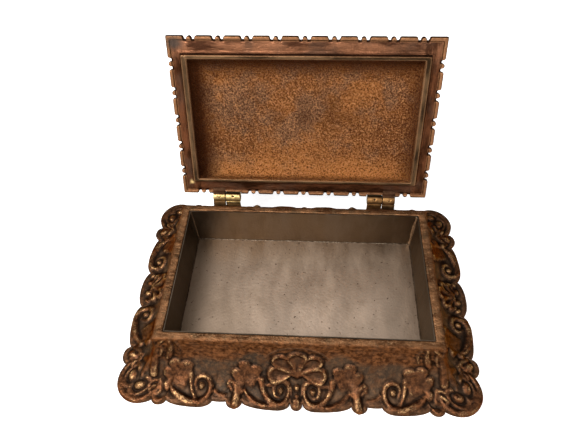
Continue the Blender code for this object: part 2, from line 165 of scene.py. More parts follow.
class Relief:
    """A height field over (u, v) in millimetres, raised by one shape at a time."""

    def __init__(self, u, v):
        self.u = u
        self.v = v
        self.height = np.zeros(u.shape)
        self.polish = np.zeros(u.shape)

    def within(self, centre_u, centre_v, reach_u, reach_v=None):
        reach_v = reach_u if reach_v is None else reach_v
        return (np.abs(self.u - centre_u) < reach_u) & (np.abs(self.v - centre_v) < reach_v)

    def lift(self, where, height):
        old = self.height[where]
        # A soft maximum, so that shapes run into each other as they do in wax
        both = np.maximum(old, height)
        close = unit(1 - np.abs(old - height) / 0.35)
        self.height[where] = np.where(height > 0.02, both + 0.06 * close * close, old)
        self.polish[where] = np.maximum(self.polish[where], height)

    def bead(self, u, v, radius, height):
        where = self.within(u, v, radius * 1.1)
        far = np.hypot(self.u[where] - u, self.v[where] - v) / radius
        self.lift(where, height * np.sqrt(unit(1 - far * far)))

    def hollow(self, u, v, radius, depth):
        where = self.within(u, v, radius * 1.6)
        far = np.hypot(self.u[where] - u, self.v[where] - v) / radius
        self.height[where] -= depth * np.exp(-far * far * 1.5)

    def ring(self, u, v, radius, width, height, gap=None):
        """Raised ring, left open over the angles of gap, in degrees from +u towards +v."""
        where = self.within(u, v, radius + width * 1.2)
        du = self.u[where] - u
        dv = self.v[where] - v
        off = (np.hypot(du, dv) - radius) / width
        raised = height * np.sqrt(unit(1 - off * off))
        if gap:
            angle = np.degrees(np.arctan2(dv, du)) % 360
            inside = (angle > gap[0]) & (angle < gap[1])
            raised = np.where(inside, 0, raised)
        self.lift(where, raised)

    def stroke(self, points, height, groove=0.0):
        """Raised rounded stroke along a flowing line of (u, v, half width)."""
        line = flowing(points)
        wide = line[:, 2].max()
        low = line[:, :2].min(axis=0) - wide * 1.2
        high = line[:, :2].max(axis=0) + wide * 1.2
        where = (self.u > low[0]) & (self.u < high[0]) & (self.v > low[1]) & (self.v < high[1])
        u = self.u[where]
        v = self.v[where]
        best = np.zeros(u.shape)
        for (u0, v0, w0), (u1, v1, w1) in zip(line, line[1:]):
            du = u1 - u0
            dv = v1 - v0
            along = unit(((u - u0) * du + (v - v0) * dv) / (du * du + dv * dv + 1e-9))
            width = np.maximum(w0 + (w1 - w0) * along, 0.05)
            off = np.hypot(u - u0 - du * along, v - v0 - dv * along) / width
            shape = np.sqrt(unit(1 - off * off)) * np.sqrt(width / wide)
            if groove:
                shape = shape * (1 - groove * bell(off / 0.28))
            best = np.maximum(best, shape)
        self.lift(where, height * best)

    def petal(self, u, v, along, across, turn, height, cup=0.65):
        """Cupped oval lobe with a raised rim; turn in degrees from +u towards +v."""
        where = self.within(u, v, max(along, across) * 1.15)
        du = self.u[where] - u
        dv = self.v[where] - v
        c = math.cos(math.radians(turn))
        s = math.sin(math.radians(turn))
        off = np.hypot((du * c + dv * s) / along, (dv * c - du * s) / across)
        edge = eased(unit((1 - off) / 0.2))
        self.lift(where, height * edge * (1 - cup * bell(off / 0.55)))

    def fan(self, root_u, root_v, bounds, radii, height, cupped=False, foot=None):
        """Lobes that spread from one root between angles from the upward line, as in a shell or in a leaf.

        foot is the place down the cove where a leaf ends below.
        """
        where = self.within(root_u, root_v, max(radii) * 1.1)
        du = self.u[where] - root_u
        dv = root_v - self.v[where]
        far = np.hypot(du, dv)
        angle = np.degrees(np.arctan2(du, dv))
        best = np.zeros(far.shape)
        for start, end, radius in zip(bounds, bounds[1:], radii):
            side = (angle - start) / (end - start) * 2 - 1
            inside = np.abs(side) < 1
            depth = (0.22 if cupped else 0.13) * radius
            round_end = radius - depth + depth * np.sqrt(unit(1 - side * side))
            edge = eased(unit((round_end - far) / (1.7 if cupped else 1.5)))
            if cupped:
                out = far / round_end
                lip = bell((round_end - far) / 2.2 - 0.55)
                ridge = np.abs(side) ** 1.7 + lip + bell(out / 0.3)
                shape = 0.16 + 0.84 * unit(ridge)
            else:
                # A leaf is broad, with a shallow valley between its lobes, a rib in each, and a turned edge
                vein = 0.12 * bell(side / 0.22) + 0.05 * np.cos(angle * 0.9 + far * 0.35)
                shape = 0.74 + 0.14 * np.sqrt(unit(1 - side * side)) + vein
                shape = shape * (0.84 + 0.3 * bell((round_end - far) / 3.4 - 0.5))
            best = np.maximum(best, np.where(inside, shape * edge, 0))
        if foot:
            best = best * unit((foot - self.v[where]) / 2.5)
        self.lift(where, height * best)


def bark(u, v):
    """Fine flowing strokes, as of bark, that run along the box and part round the shell."""
    flow = v + 4.2 * bell(u / 15) + 1.5 * value_noise(u, v * 0.6, 13, 3)
    flow = flow + 0.03 * np.abs(u)
    fine = value_noise(u * 0.16, flow, 0.75, 5)
    coarse = value_noise(u * 0.2, flow, 1.7, 8)
    return 0.17 * fine + 0.16 * coarse + 0.1 * value_noise(u, v, 1.2, 11)


def bark_edge(u):
    """Lower edge of the bark on the front, as distance down the cove."""
    wave = 17 + 2.6 * np.sin(u * 0.19 + 0.6) + 2.2 * np.sin(u * 0.083 + 2.2)
    return wave + 2.4 * value_noise(u, u * 0, 4, 21)


# Longer lines of the relief as (place along the panel, distance down the cove, half width)
VOLUTE = (
    (20.4, 27.4, 2.2), (19.2, 31.5, 1.6), (16.2, 35.6, 1.6), (11.6, 38, 1.7), (7, 37.4, 1.6),
    (4.3, 34.2, 1.5), (4.5, 30.2, 1.35), (7.4, 27.4, 1.25), (11.2, 27.9, 1.15), (13, 31, 1), (12, 34, 0.8),
    (9.6, 34.8, 0.55),
)
TONGUE = (
    (39, 33, 1), (39, 30.4, 1.3), (36.4, 29.4, 1.7), (34.4, 31.6, 2), (34.2, 35.4, 2.5), (34.8, 38.8, 2.6),
)
FRONT_SCROLL = (
    (57.2, 32.6, 0.6), (58.2, 29.8, 0.9), (56.8, 27.2, 1.1), (53.8, 26.2, 1.25), (50.6, 27.6, 1.4),
    (49.2, 31, 1.5), (50.2, 35, 1.7), (54, 37.9, 1.8), (60, 38.4, 2), (66, 36.9, 2.1), (71.4, 34.6, 1.9),
    (75, 32, 1.5),
)
SCROLL_LEAF = ((56.5, 37.4, 0.7), (59, 34.6, 0.9), (60.6, 30.6, 1.2), (61, 26.6, 1.6), (60.8, 24.6, 1.2))
DROP_LEAF = ((74, -1, 0.9), (78.2, 6, 1.3), (80.8, 14, 1.9), (82.4, 22, 2.3), (82.6, 26.2, 2.2))
SIDE_SCROLL = (
    (22.2, 35, 0.6), (23.6, 32.2, 0.9), (22, 29.4, 1.1), (18.8, 28.6, 1.25), (15.8, 30.4, 1.4), (15, 34, 1.5),
    (17, 37.6, 1.7), (23, 38.6, 1.9), (30, 37.4, 2), (36, 35.4, 1.8), (39, 31.6, 1.6),
)
BARK_FADE = 4


def edge_roll(relief):
    """Rounded roll along the edge of the foot."""
    roll = 0.6 * bell((relief.v - 38.9) / 1.5)
    relief.lift(relief.v > 34, roll[relief.v > 34])


def corner_scrolls(relief, away):
    """What the front and the side share at a corner: away is the distance from the mitre."""
    field = Relief(away, relief.v)
    field.stroke(((0, -1.5, 1.2), (0, 7, 1.6), (0.4, 16, 2.2), (0, 23, 2.0), (0, 28, 1.1)), 1.1, groove=0.25)
    field.bead(3.1, 32.6, 2.2, 2.0)
    field.ring(3.1, 32.8, 4.3, 1.05, 1.0, gap=(180, 262))
    field.bead(10, 33.4, 2.0, 2.0)
    field.ring(10, 33.6, 3.7, 1.0, 1.2, gap=(95, 200))
    field.stroke(((15.6, 35.6, 1.4), (12.4, 38.2, 1.8), (6.5, 39.2, 1.9), (0, 39.2, 1.9)), 1.3, groove=0.15)
    where = away < 17
    relief.height[where] = np.maximum(relief.height[where], field.height[where])
    relief.polish[where] = np.maximum(relief.polish[where], field.polish[where])


def front_relief(u, v, away):
    """Relief of the front or back, and where the bark covers it."""
    relief = Relief(np.abs(u), v)
    side = relief.u
    edge_roll(relief)
    # Shell in the middle
    relief.fan(0, 23.6, (-26, 26, 69, 112), (17.4, 18.6, 17.8), 1.9, cupped=True)
    relief.bead(0, 23.4, 2.6, 1.7)
    relief.stroke(((6.5, 26.2, 1.0), (12, 28.6, 1.1), (17, 29.4, 1.0)), 1.1)
    relief.stroke(((0, 3.4, 0.8), (7, 4.4, 0.8), (13.4, 8.2, 0.7), (18.2, 13.6, 0.6)), 0.55)
    # Volutes under the shell, with a drop between them
    relief.stroke(VOLUTE, 1.7, groove=0.2)
    relief.bead(9.1, 31.6, 1.7, 1.8)
    relief.bead(0, 30.2, 1.7, 1.6)
    relief.bead(0, 33.8, 1.2, 1.1)
    relief.petal(0, 37.4, 2.9, 2.2, 90, 1.3, cup=0.2)
    relief.stroke(((13, 38.9, 1.2), (20, 38.8, 1.5), (26, 36.8, 1.5), (31, 33.2, 1.4), (33, 30.6, 1.2)), 1.25)
    # Acanthus leaf, then a hanging tongue that curls at its top
    relief.fan(26.6, 35.5, (-26, 0, 24, 48, 76), (17.6, 20.4, 17.4, 12.4), 1.3, foot=32.5)
    relief.stroke(TONGUE, 1.8)
    relief.bead(37.6, 32.4, 1.2, 1.2)
    relief.stroke(((40.4, 37.6, 1.0), (44.5, 36.9, 1.3), (48.2, 34.2, 1.2)), 0.9)
    # C scroll with its leaf
    relief.fan(65.6, 36, (-22, 3, 27, 50, 78), (19.4, 20.8, 17.6, 13), 1.3, foot=33.5)
    relief.stroke(FRONT_SCROLL, 1.75, groove=0.2)
    relief.bead(54.4, 30.6, 1.8, 1.8)
    relief.stroke(SCROLL_LEAF, 1.5)
    # Small hook and ball towards the corner
    relief.bead(81.4, 33, 1.8, 1.9)
    relief.ring(81.4, 33.2, 3.5, 0.95, 1.2, gap=(60, 150))
    relief.stroke(((74.8, 38, 1.2), (79, 39, 1.6), (83, 38.8, 1.2)), 1.1)
    # Drop leaves that hang beside the corner
    relief.stroke(DROP_LEAF, 1.75, groove=0.2)
    relief.bead(82.6, 26.2, 2.3, 1.9)
    relief.stroke(((70.4, -1, 0.9), (70.8, 6, 1.5), (72.2, 12, 2.0), (73.6, 15.6, 1.7)), 1.6, groove=0.2)
    relief.stroke(((76.4, 4, 0.7), (76.8, 10, 1.2), (78.4, 15, 0.9)), 1.2)
    relief.stroke(((67.2, 0, 0.6), (66.2, 7, 1.0), (67.2, 13, 0.8)), 0.9)
    relief.stroke(((88, 22, 0.8), (90.6, 26, 1.2), (89.4, 29, 1.0)), 0.8)
    corner_scrolls(relief, away)
    return relief, unit((bark_edge(side) - v) / BARK_FADE)


def side_relief(u, v, away):
    """Relief of a side, and where the bark covers it."""
    relief = Relief(np.abs(u), v)
    edge_roll(relief)
    # Ball and hook, S scroll with its leaf, and the lobe in the middle of the side
    relief.bead(45.2, 34.6, 2.6, 2.0)
    relief.stroke(((48.6, 36, 0.8), (49.2, 32.4, 1.1), (46.6, 30, 1.3), (43, 31, 1.3), (41, 34.2, 1.2)), 1.3)
    relief.fan(30.4, 36.5, (-26, -1, 23, 47, 74), (18.6, 20, 16.8, 12.4), 1.3, foot=34)
    relief.stroke(SIDE_SCROLL, 1.75, groove=0.2)
    relief.bead(19.4, 32.6, 1.8, 1.8)
    relief.fan(0, 33, (-24, 24, 62, 95), (14, 12.6, 11), 1.6, cupped=True)
    relief.bead(3.8, 34.6, 2.0, 1.8)
    relief.bead(9.4, 35.4, 1.6, 1.5)
    relief.stroke(((50, 9, 0.8), (52, 15, 1.4), (50.5, 22, 1.7), (48.6, 26, 1.4)), 1.0, groove=0.3)
    relief.stroke(((42, -1, 0.8), (43, 7, 1.3), (44.6, 14, 1.4), (45, 19, 1.1)), 0.9, groove=0.3)
    corner_scrolls(relief, away)
    edge = 22 + 2.5 * np.sin(relief.u * 0.21 + 1.1) + 1.8 * value_noise(u, u * 0, 5, 31)
    return relief, unit((edge - v) / BARK_FADE)


# ---------------------------------------------------------------- meshes of rings

def quarter_place(run):
    """Angle turned at the corner, share of the front that is passed, and share of the side still to come."""
    turn = unit((run - FRONT_RUN) / CORNER_RUN) * math.pi / 2
    return turn, unit(run / FRONT_RUN), unit((QUARTER_RUN - run) / SIDE_RUN)


def corner_place(run, half_w, half_d, radius):
    """x, y and outward normal of points on the front right quarter of a rounded rectangle."""
    turn, along, beyond = quarter_place(run)
    x = along * (half_w - radius) + radius * np.sin(turn)
    y = -beyond * (half_d - radius) - radius * np.cos(turn)
    return x, y, np.sin(turn), -np.cos(turn)


def unrolled(run, half_w, half_d, radius):
    """(on the front, place along its panel, distance from the mitre) for points of the quarter."""
    turn, along, beyond = quarter_place(run)
    front = run <= MITRE_RUN
    front_u = along * (half_w - radius) + turn * radius
    side_u = beyond * (half_d - radius) + (math.pi / 2 - turn) * radius
    quarter = radius * math.pi / 4
    away = np.where(front, half_w - radius + quarter - front_u, half_d - radius + quarter - side_u)
    return front, np.where(front, front_u, side_u), away


def lobe_height(run):
    """How far the lobes of the foot stand out."""
    height = np.zeros(run.shape)
    for start, crest, end, tall in LOBES:
        inside = (run >= start) & (run <= end)
        span = np.where(run > crest, end - crest, crest - start)
        share = np.abs(run - crest) / span
        height = np.where(inside, tall * unit(1 - share**2.2) ** 0.55, height)
    return height


def quarter_columns(step_front, step_side):
    """Runs along a quarter, closer together where a lobe turns into a notch."""
    marks = [0] + [x for lobe in LOBES for x in lobe[:3] if 0 < x < QUARTER_RUN] + [QUARTER_RUN]
    marks = sorted(set(round(m, 4) for m in marks))
    runs = []
    for start, end in zip(marks, marks[1:]):
        step = step_front if (start + end) / 2 < MITRE_RUN else step_side
        count = max(2, int(math.ceil((end - start) / step)))
        runs += [start + (end - start) * i / count for i in range(count)]
    return np.array(runs + [QUARTER_RUN])


def loop_of(front_quarter, back_quarter):
    """Columns of the whole loop as (run, x sign, y sign), from the middle of the front anticlockwise."""
    parts = []
    for runs, sign_x, sign_y, rising in (
        (front_quarter, 1, 1, True),
        (back_quarter, 1, -1, False),
        (back_quarter, -1, -1, True),
        (front_quarter, -1, 1, False),
    ):
        used = runs[:-1] if rising else runs[::-1][:-1]
        parts.append(np.stack([used, np.full(len(used), sign_x), np.full(len(used), sign_y)], axis=1))
    return np.concatenate(parts)


def grid_faces(rows, columns, wrap_rows):
    """Quads of a grid whose columns run all the way round, and its rows too with wrap_rows."""
    first = np.arange(rows if wrap_rows else rows - 1)
    r, c = np.meshgrid(first, np.arange(columns), indexing="ij")
    below = (r + 1) % rows
    right = (c + 1) % columns
    corners = [r * columns + c, below * columns + c, below * columns + right, r * columns + right]
    return np.stack(corners, axis=-1).reshape(-1, 4)


def make_mesh(name, points, faces, body, material, attributes=None):
    """Smooth mesh object on a body, from points in millimetres."""
    mesh = bpy.data.meshes.new(name)
    mesh.from_pydata((np.asarray(points, float) * MM).tolist(), [], faces)
    mesh.update()
    for key, values in (attributes or {}).items():
        layer = mesh.attributes.new(key, "FLOAT", "POINT")
        layer.data.foreach_set("value", np.asarray(values, np.float32).ravel())
    mesh.shade_smooth()
    obj = bpy.data.objects.new(name, mesh)
    bpy.context.scene.collection.objects.link(obj)
    mesh.materials.append(material)
    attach(obj, body)
    return obj


def face_outwards(mesh):
    """Turns the faces of a closed mesh outwards."""
    bm = bmesh.new()
    bm.from_mesh(mesh)
    bmesh.ops.recalc_face_normals(bm, faces=bm.faces)
    bm.to_mesh(mesh)
    bm.free()


def blurred(values, steps):
    """Values of a grid, averaged with their neighbours so many times over."""
    for _ in range(steps):
        values = (values + np.roll(values, 1, 1) + np.roll(values, -1, 1)) / 3
        up = np.vstack([values[:1], values[:-1]])
        down = np.vstack([values[1:], values[-1:]])
        values = (values + up + down) / 3
    return values


def cove_at(turn):
    """Outward run, height, and normal out and up, after a turn from the top of the cove."""
    steep = np.sin(turn) * COVE_RUN / COVE_DROP
    size = np.hypot(np.cos(turn), steep)
    run = (1 - np.cos(turn)) * COVE_RUN
    return run, COVE_TOP - np.sin(turn) * COVE_DROP, np.cos(turn) / size, steep / size


def cove_table():
    """What cove_at gives, with the distance down the cove and the share of the turn, at even steps."""
    turn = np.linspace(0, 1, 600) * math.pi / 2
    run, height = cove_at(turn)[:2]
    length = np.concatenate([[0], np.cumsum(np.hypot(np.diff(run), np.diff(height)))])
    even = np.linspace(0, length[-1], COVE_ROWS)
    turn = np.interp(even, length, turn)
    return *cove_at(turn), even, turn / (math.pi / 2)


def base_rows():
    """Rings of the base casting, from inside the opening over the rim and down the cove to the seat below."""
    rows = []

    def row(half_w, half_d, radius, z, lobes=0.0, down=-9.0, out=0.0, up=1.0, moves=0.0, rim=0.0):
        """Adds a ring: sizes and height, share of the lobes, place down the cove, and how relief moves it."""
        rows.append((half_w, half_d, radius, z, lobes, down, out, up, moves, rim))

    row(*OPENING, 0.8, RIM_TOP - 4)
    row(*OPENING, 0.8, RIM_TOP - 0.35, rim=1, down=-7.4)
    for share in (0.05, 0.2, 0.36, 0.52, 0.68, 0.84, 0.93):
        row(
            OPENING[0] + (RIM[0] - OPENING[0]) * share,
            OPENING[1] + (RIM[1] - OPENING[1]) * share,
            0.8 + 0.4 * share,
            RIM_TOP - 0.22 * max(0, share - 0.7) / 0.23,
            rim=float(np.interp(share, (0.6, 0.93), (1, 0.25))),
            down=-7 + 4.6 * share,
        )
    row(RIM[0] - 0.12, RIM[1] - 0.12, 1.2, RIM_TOP - 0.5, rim=0.15, down=-2.3, moves=0.5)
    row(*RIM, 1.2, RIM_TOP - 0.9, rim=0.05, down=-2, out=1, up=0, moves=0.6)
    row(*RIM, 1.2, RIM_TOP - 1.4, rim=0, down=-1.2, out=1, up=0, moves=0.8)
    for run, z, out, up, down, share in zip(*cove_table()):
        lobes = np.interp(share, (0, 0.32, 0.48, 0.64, 0.82, 1), (0, 0, 0.1, 0.35, 0.8, 1))
        row(RIM[0] + run, RIM[1] + run, 1.2 + 10.8 * run / COVE_RUN, z, lobes, down, out, up, 1.0)
    for out, z, lift in FOOT_ROLL:
        row(FOOT[0] + out, FOOT[1] + out, FOOT_CORNER, z, 1, 40 + FOOT_EDGE - z, 1, 0, lift)
    row(*SEAT, 10, 0.05)
    row(*SEAT, 10, 2.4)
    # The inside of the skin, up towards the opening
    for share in (0.5, 0.35, 0.18, 0.04):
        run, z, out, up = cove_at(share * math.pi / 2)
        run -= SKIN * out
        row(RIM[0] + run, RIM[1] + run, max(1.0, 1.2 + 10.8 * run / COVE_RUN), z - SKIN * up)
    return np.array(rows)


def build_base():
    columns = loop_of(quarter_columns(0.56, 0.8), quarter_columns(0.95, 0.95))
    run = columns[:, 0]
    table = base_rows()
    half_w, half_d, radius, z, lobes, down, out, up, moves, rim = (table[:, i : i + 1] for i in range(10))
    runs = run[None, :] + 0 * z
    x, y, normal_x, normal_y = corner_place(runs, half_w, half_d, radius)
    front, u, away = unrolled(runs, half_w, half_d, radius)
    v = down + 0 * runs
    spread = lobe_height(runs) * lobes
    on_cove = (moves > 0) & (runs > -1)

    height = np.zeros(runs.shape)
    polish = np.zeros(runs.shape)
    bark_zone = np.zeros(runs.shape)
    signed = u * columns[None, :, 1]
    for is_front, maker in ((True, front_relief), (False, side_relief)):
        part = on_cove & (front == is_front)
        relief, above = maker(u[part], v[part], away[part])
        height[part] = relief.height
        polish[part] = relief.polish
        bark_zone[part] = above
    plain = unit(1 - polish / 0.35)
    height += on_cove * bark_zone * plain * bark(signed + np.where(front, 0, 300), v)
    wear = 0.07 * value_noise(signed, v, 1.4, 2) + 0.06 * value_noise(signed, v, 2.6, 6)
    height += on_cove * (wear + 0.09 * value_noise(signed, v, 6, 4))
    # The relief fades out just under the rim
    height *= unit((v + 2.6) / 2.2)
    height = blurred(height, 1) * 0.55 + height * 0.45
    moved = height * moves
    rim_wave = rim * (0.1 * value_noise(signed, v, 9, 7) + 0.06 * value_noise(signed, v, 2.0, 9) - 0.16)
    # The outer edge of the rim is softly uneven
    ragged = 0.18 * value_noise(signed, signed * 0, 5, 15) + 0.1 * value_noise(signed, signed * 0, 1.6, 17)
    ragged *= (v < -1) & (v > -2.6)
    x = x + normal_x * ragged
    y = y + normal_y * ragged
    x = x + normal_x * (spread + moved * out)
    y = y + normal_y * (spread + moved * out)
    z_all = z + moved * up * (out > 0) + rim_wave * (up > 0.5)
    z_all = np.maximum(z_all, 0.05)
    x = x * columns[None, :, 1]
    y = y * columns[None, :, 2]
    points = np.stack([x, y, z_all], axis=-1).reshape(-1, 3)
    soft = blurred(height, 5)
    local = np.where(on_cove, (height - soft) / 0.34, 0)
    attributes = {
        "rub": unit(local * 0.55 + polish * 0.28) * on_cove,
        "hollow": unit(-local * 0.8 + 0.1) * on_cove,
        "bark": np.maximum(bark_zone * plain * on_cove, (v < -1.1) & (v > -7.5)),
        "ornament": unit(polish / 0.9) * on_cove,
        "rim": rim + 0 * runs,
    }
    faces = grid_faces(len(table), len(run), True).tolist()
    obj = make_mesh("base_casting_relief", points, faces, "base", BASE_BRONZE, attributes)
    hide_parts("base_casting")


# ---------------------------------------------------------------- the lid

BEAD_PITCH = 16.6
SIDE_PITCH = 17
BEAD_ALONG = (0, 0.6, 1.0, 1.3, 1.58, 2.9, 3.25, 3.6, 4.2)
BEAD_IN = (0.02, 0.08, 0.24, 0.5, 1, 1, 0.62, 0.16, 0)
BEAD_LIFT = 0.14
NOTCH = 2
RECESS = 1.2
LID_MIDDLE = (LID_FRONT + LID_BACK) / 2
DISH_WIDE = RIB[0] - RIB_THICK[0]
DISH_LOW = RIB[1] + RIB_THICK[1]
DISH_HIGH = RIB[2] - RIB_THICK[2]
LID_DEEP = (LID_BACK - LID_FRONT) / 2
FIELD_IN = 9

# Sections of the dish and of the dome as (distance in, height over the underside)
DISH = ((0, -1.5), (0.9, 1.2), (3.0, 3.6), (7, 5.9), (13.5, 7.6), (24, 8.6), (36.9, 8.8))
DOME = ((7.1, 3.9), (7.6, 5.2), (FIELD_IN, 6.7), (13, 8.9), (21, 10.9), (33, 12), (49.4, 12.4))
# Sections of the rib and of its foot as (share of its thickness, drop, painted shadow)
RIB_CREST = (
    (0.05, 2.2, 0), (0.12, 2.55, 0), (0.3, RIB_DROP, 0), (0.7, RIB_DROP, 0), (0.9, 2.5, 0), (0.97, 2.2, 0),
)
RIB_FOOT = (
    (1, 1.5, 0.2), (1.03, 0.5, 0.6), (1.09, -0.3, 0.9), (1.2, -0.3, 0.4), (1.3, 0.1, 0), (1.42, -0.1, 0),
    (1.5, -0.6, 0.3),
)
# Section of the lid's edge as (distance in, height over the underside, share of the notches, painted shadow)
BRIM_RISE = 0.65
LID_RIM = (
    (2.7, BRIM_RISE - 0.02, 0.12, 0),
    (2.45, BRIM_RISE - 0.06, 0.2, 0.5),
    (2.2, 0.3, 0.3, 0.35),
    (1.8, 0.12, 0.44, 0),
    (1.2, 0.02, 0.7, 0),
    (0.7, 0.05, 0.9, 0),
    (0.32, 0.2, 1, 0.45),
    (0.1, 0.45, 1, 0.85),
    (0, 1, 1, 0.9),
    (0, 2, 1, 0.8),
    (0, 3, 1, 0.6),
    (0.15, 3.6, 1, 0),
    (0.6, LID_EDGE, 0.9, 0),
    (1.3, LID_EDGE, 0.7, 0),
    (2, LID_EDGE - 0.3, 0.4, 0),
    (3.2, LID_EDGE - 0.3, 0, 0),
    (5.2, LID_EDGE - 0.3, 0, 0),
    (6.6, LID_EDGE - 0.2, 0, 0),
)
# Zones of the lid's rings
IN_DISH, ON_RIB, ON_BRIM, ON_EDGE, OVER_EDGE, ON_DOME = range(1, 7)


def edge_columns(centres, half, extra=()):
    """Places along one edge, close together at the beads."""
    places = {-half, half}
    for centre in centres:
        for off in BEAD_ALONG:
            places |= {centre - off, centre + off}
    places |= set(extra)
    marks = sorted(p for p in places if -half <= p <= half)
    made = []
    for start, end in zip(marks, marks[1:]):
        count = max(1, int(round((end - start) / 1.1)))
        made += [start + (end - start) * i / count for i in range(count)]
    return np.array(made + [half])


def bead_inset(place, centres, skip=()):
    """How far the edge is let in, as a share of the notch, and how much of a bead stands there."""
    inset = np.zeros(place.shape)
    bead = np.zeros(place.shape)
    for number, centre in enumerate(centres):
        if number in skip:
            continue
        depth = 1 + 0.05 * math.sin(number * 2.3 + 0.4)
        off = np.abs(place - centre)
        inset = np.maximum(inset, depth * np.interp(off, BEAD_ALONG, BEAD_IN, right=0))
        bead = np.maximum(bead, np.sqrt(unit(1 - (off / 1.5) ** 2)))
    return inset, bead


def squared(place, half, ring_half):
    """Places along an edge as they stand on a ring further in: only those near the corners move."""
    return np.sign(place) * np.interp(np.abs(place), (0, half - 8, half), (0, half - 8, ring_half))


def lid_top_relief(x, y):
    """Ornament of the dome: a shell in the middle, scrolls, and leaves in the corners."""
    relief = Relief(np.abs(x), np.abs(y))
    relief.petal(0, 0, 11, 8.4, 0, 1.3, cup=0.55)
    relief.bead(0, 0, 3, 1.4)
    relief.ring(17, 0, 4.2, 1.3, 1.2, gap=(330, 360))
    relief.bead(17, 0, 1.7, 1.2)
    relief.stroke(((12, 3, 1.1), (18, 8, 1.5), (27, 9.5, 1.6), (34, 5.5, 1.4), (38, 0, 1.2)), 1.15)
    relief.fan(26, 10, (130, 152, 172, 192, 214), (12, 15, 15, 12), 1.2)
    relief.fan(50, 17, (60, 84, 108, 134, 160, 184), (12, 14, 16, 17, 14), 1.3)
    relief.stroke(((46, 18, 1.2), (42, 11, 1.4), (47, 5, 1.4), (53, 8, 1.3), (52, 13, 1.3)), 1.2)
    relief.bead(48.5, 10.5, 1.8, 1.2)
    relief.petal(0, 24, 6.5, 5, 90, 1.2, cup=0.7)
    relief.stroke(((7, 28, 1.0), (14, 31, 1.4), (22, 30, 1.3), (30, 31.5, 1.3), (38, 30, 1.0)), 1.0)
    relief.stroke(((62, 6, 1.2), (60, 0, 1.4), (62, -6, 1.2)), 1.0)
    return relief


def dome_relief(x, y):
    """Height of the dome's ornament with the bark between it, and the ornament's own height."""
    relief = lid_top_relief(x, y - LID_MIDDLE)
    return relief.height + unit(1 - relief.polish / 0.35) * bark(x, y) * 0.8, relief.polish


def slope_painted_shade(x, y):
    """Painted shade on the slopes of the dish, deepest on those that face down and to the left when the lid
    is open, with a blotched darker patch in the middle.
    """
    front = 0.8 * unit(1.15 - (y + 37.15) / 13)
    left = unit(1.15 - (x + 68) / 13)
    right = 0.6 * unit(1 - (68 - x) / 10)
    back = 0.6 * unit(1 - (37.15 - y) / 1.6)
    blots = 0.5 + 0.5 * value_noise(x, y, 9, 81)
    middle = 0.55 * np.exp(-((x / 48) ** 2) - ((y + 6) / 17) ** 2) * blots
    return unit(np.maximum.reduce([front, left, right, back, middle]))


def lid_field(long_places, side_places, dome, last_ring):
    """The dome inside the last ring: a plain grid whose rim is that ring, fine enough for its ornament."""
    wide = len(long_places)
    deep = len(side_places)
    x = (long_places / LID_HALF)[None, :] * (LID_HALF - FIELD_IN) + 0 * side_places[:, None]
    y = LID_MIDDLE + (side_places / LID_DEEP)[:, None] * (LID_DEEP - FIELD_IN) + 0 * long_places[None, :]
    in_x = LID_HALF - np.abs(x)
    in_y = LID_DEEP - np.abs(y - LID_MIDDLE)
    # Rounded hips at the corners of the dome
    hip = 15 - np.hypot(np.clip(15 - in_x, 0, None), np.clip(15 - in_y, 0, None))
    inward = np.where((in_x < 15) & (in_y < 15), np.maximum(hip, FIELD_IN), np.minimum(in_x, in_y))
    raised, polish = dome_relief(x, y)
    raised *= unit((np.minimum(in_x, in_y) - FIELD_IN) / 2)
    z = LID_UNDER + np.interp(inward, dome[:, 0], dome[:, 1]) + raised
    local = (raised - blurred(raised, 3)) / 0.25
    rub = unit(local * 0.5 + polish * 0.3)
    hollow = unit(-local)

    # Corner numbers: the ring runs along the front, up the right, along the back and down the left
    round_ring = 2 * (wide + deep - 2)
    index = np.zeros((deep, wide), int)
    index[1:-1, 1:-1] = last_ring + round_ring + np.arange((deep - 2) * (wide - 2)).reshape(deep - 2, -1)
    index[0, :] = last_ring + np.arange(wide)
    index[:, -1] = last_ring + wide - 1 + np.arange(deep)
    index[-1, :] = last_ring + wide + deep - 2 + np.arange(wide)[::-1]
    index[1:, 0] = last_ring + 2 * wide + deep - 3 + np.arange(deep - 1)[::-1]
    faces = np.stack([index[:-1, :-1], index[:-1, 1:], index[1:, 1:], index[1:, :-1]], axis=-1).reshape(-1, 4)
    inside = np.s_[1:-1, 1:-1]
    points = np.stack([x[inside], y[inside], z[inside]], axis=-1).reshape(-1, 3)
    return points, faces, {"rub": rub[inside].ravel(), "hollow": hollow[inside].ravel()}


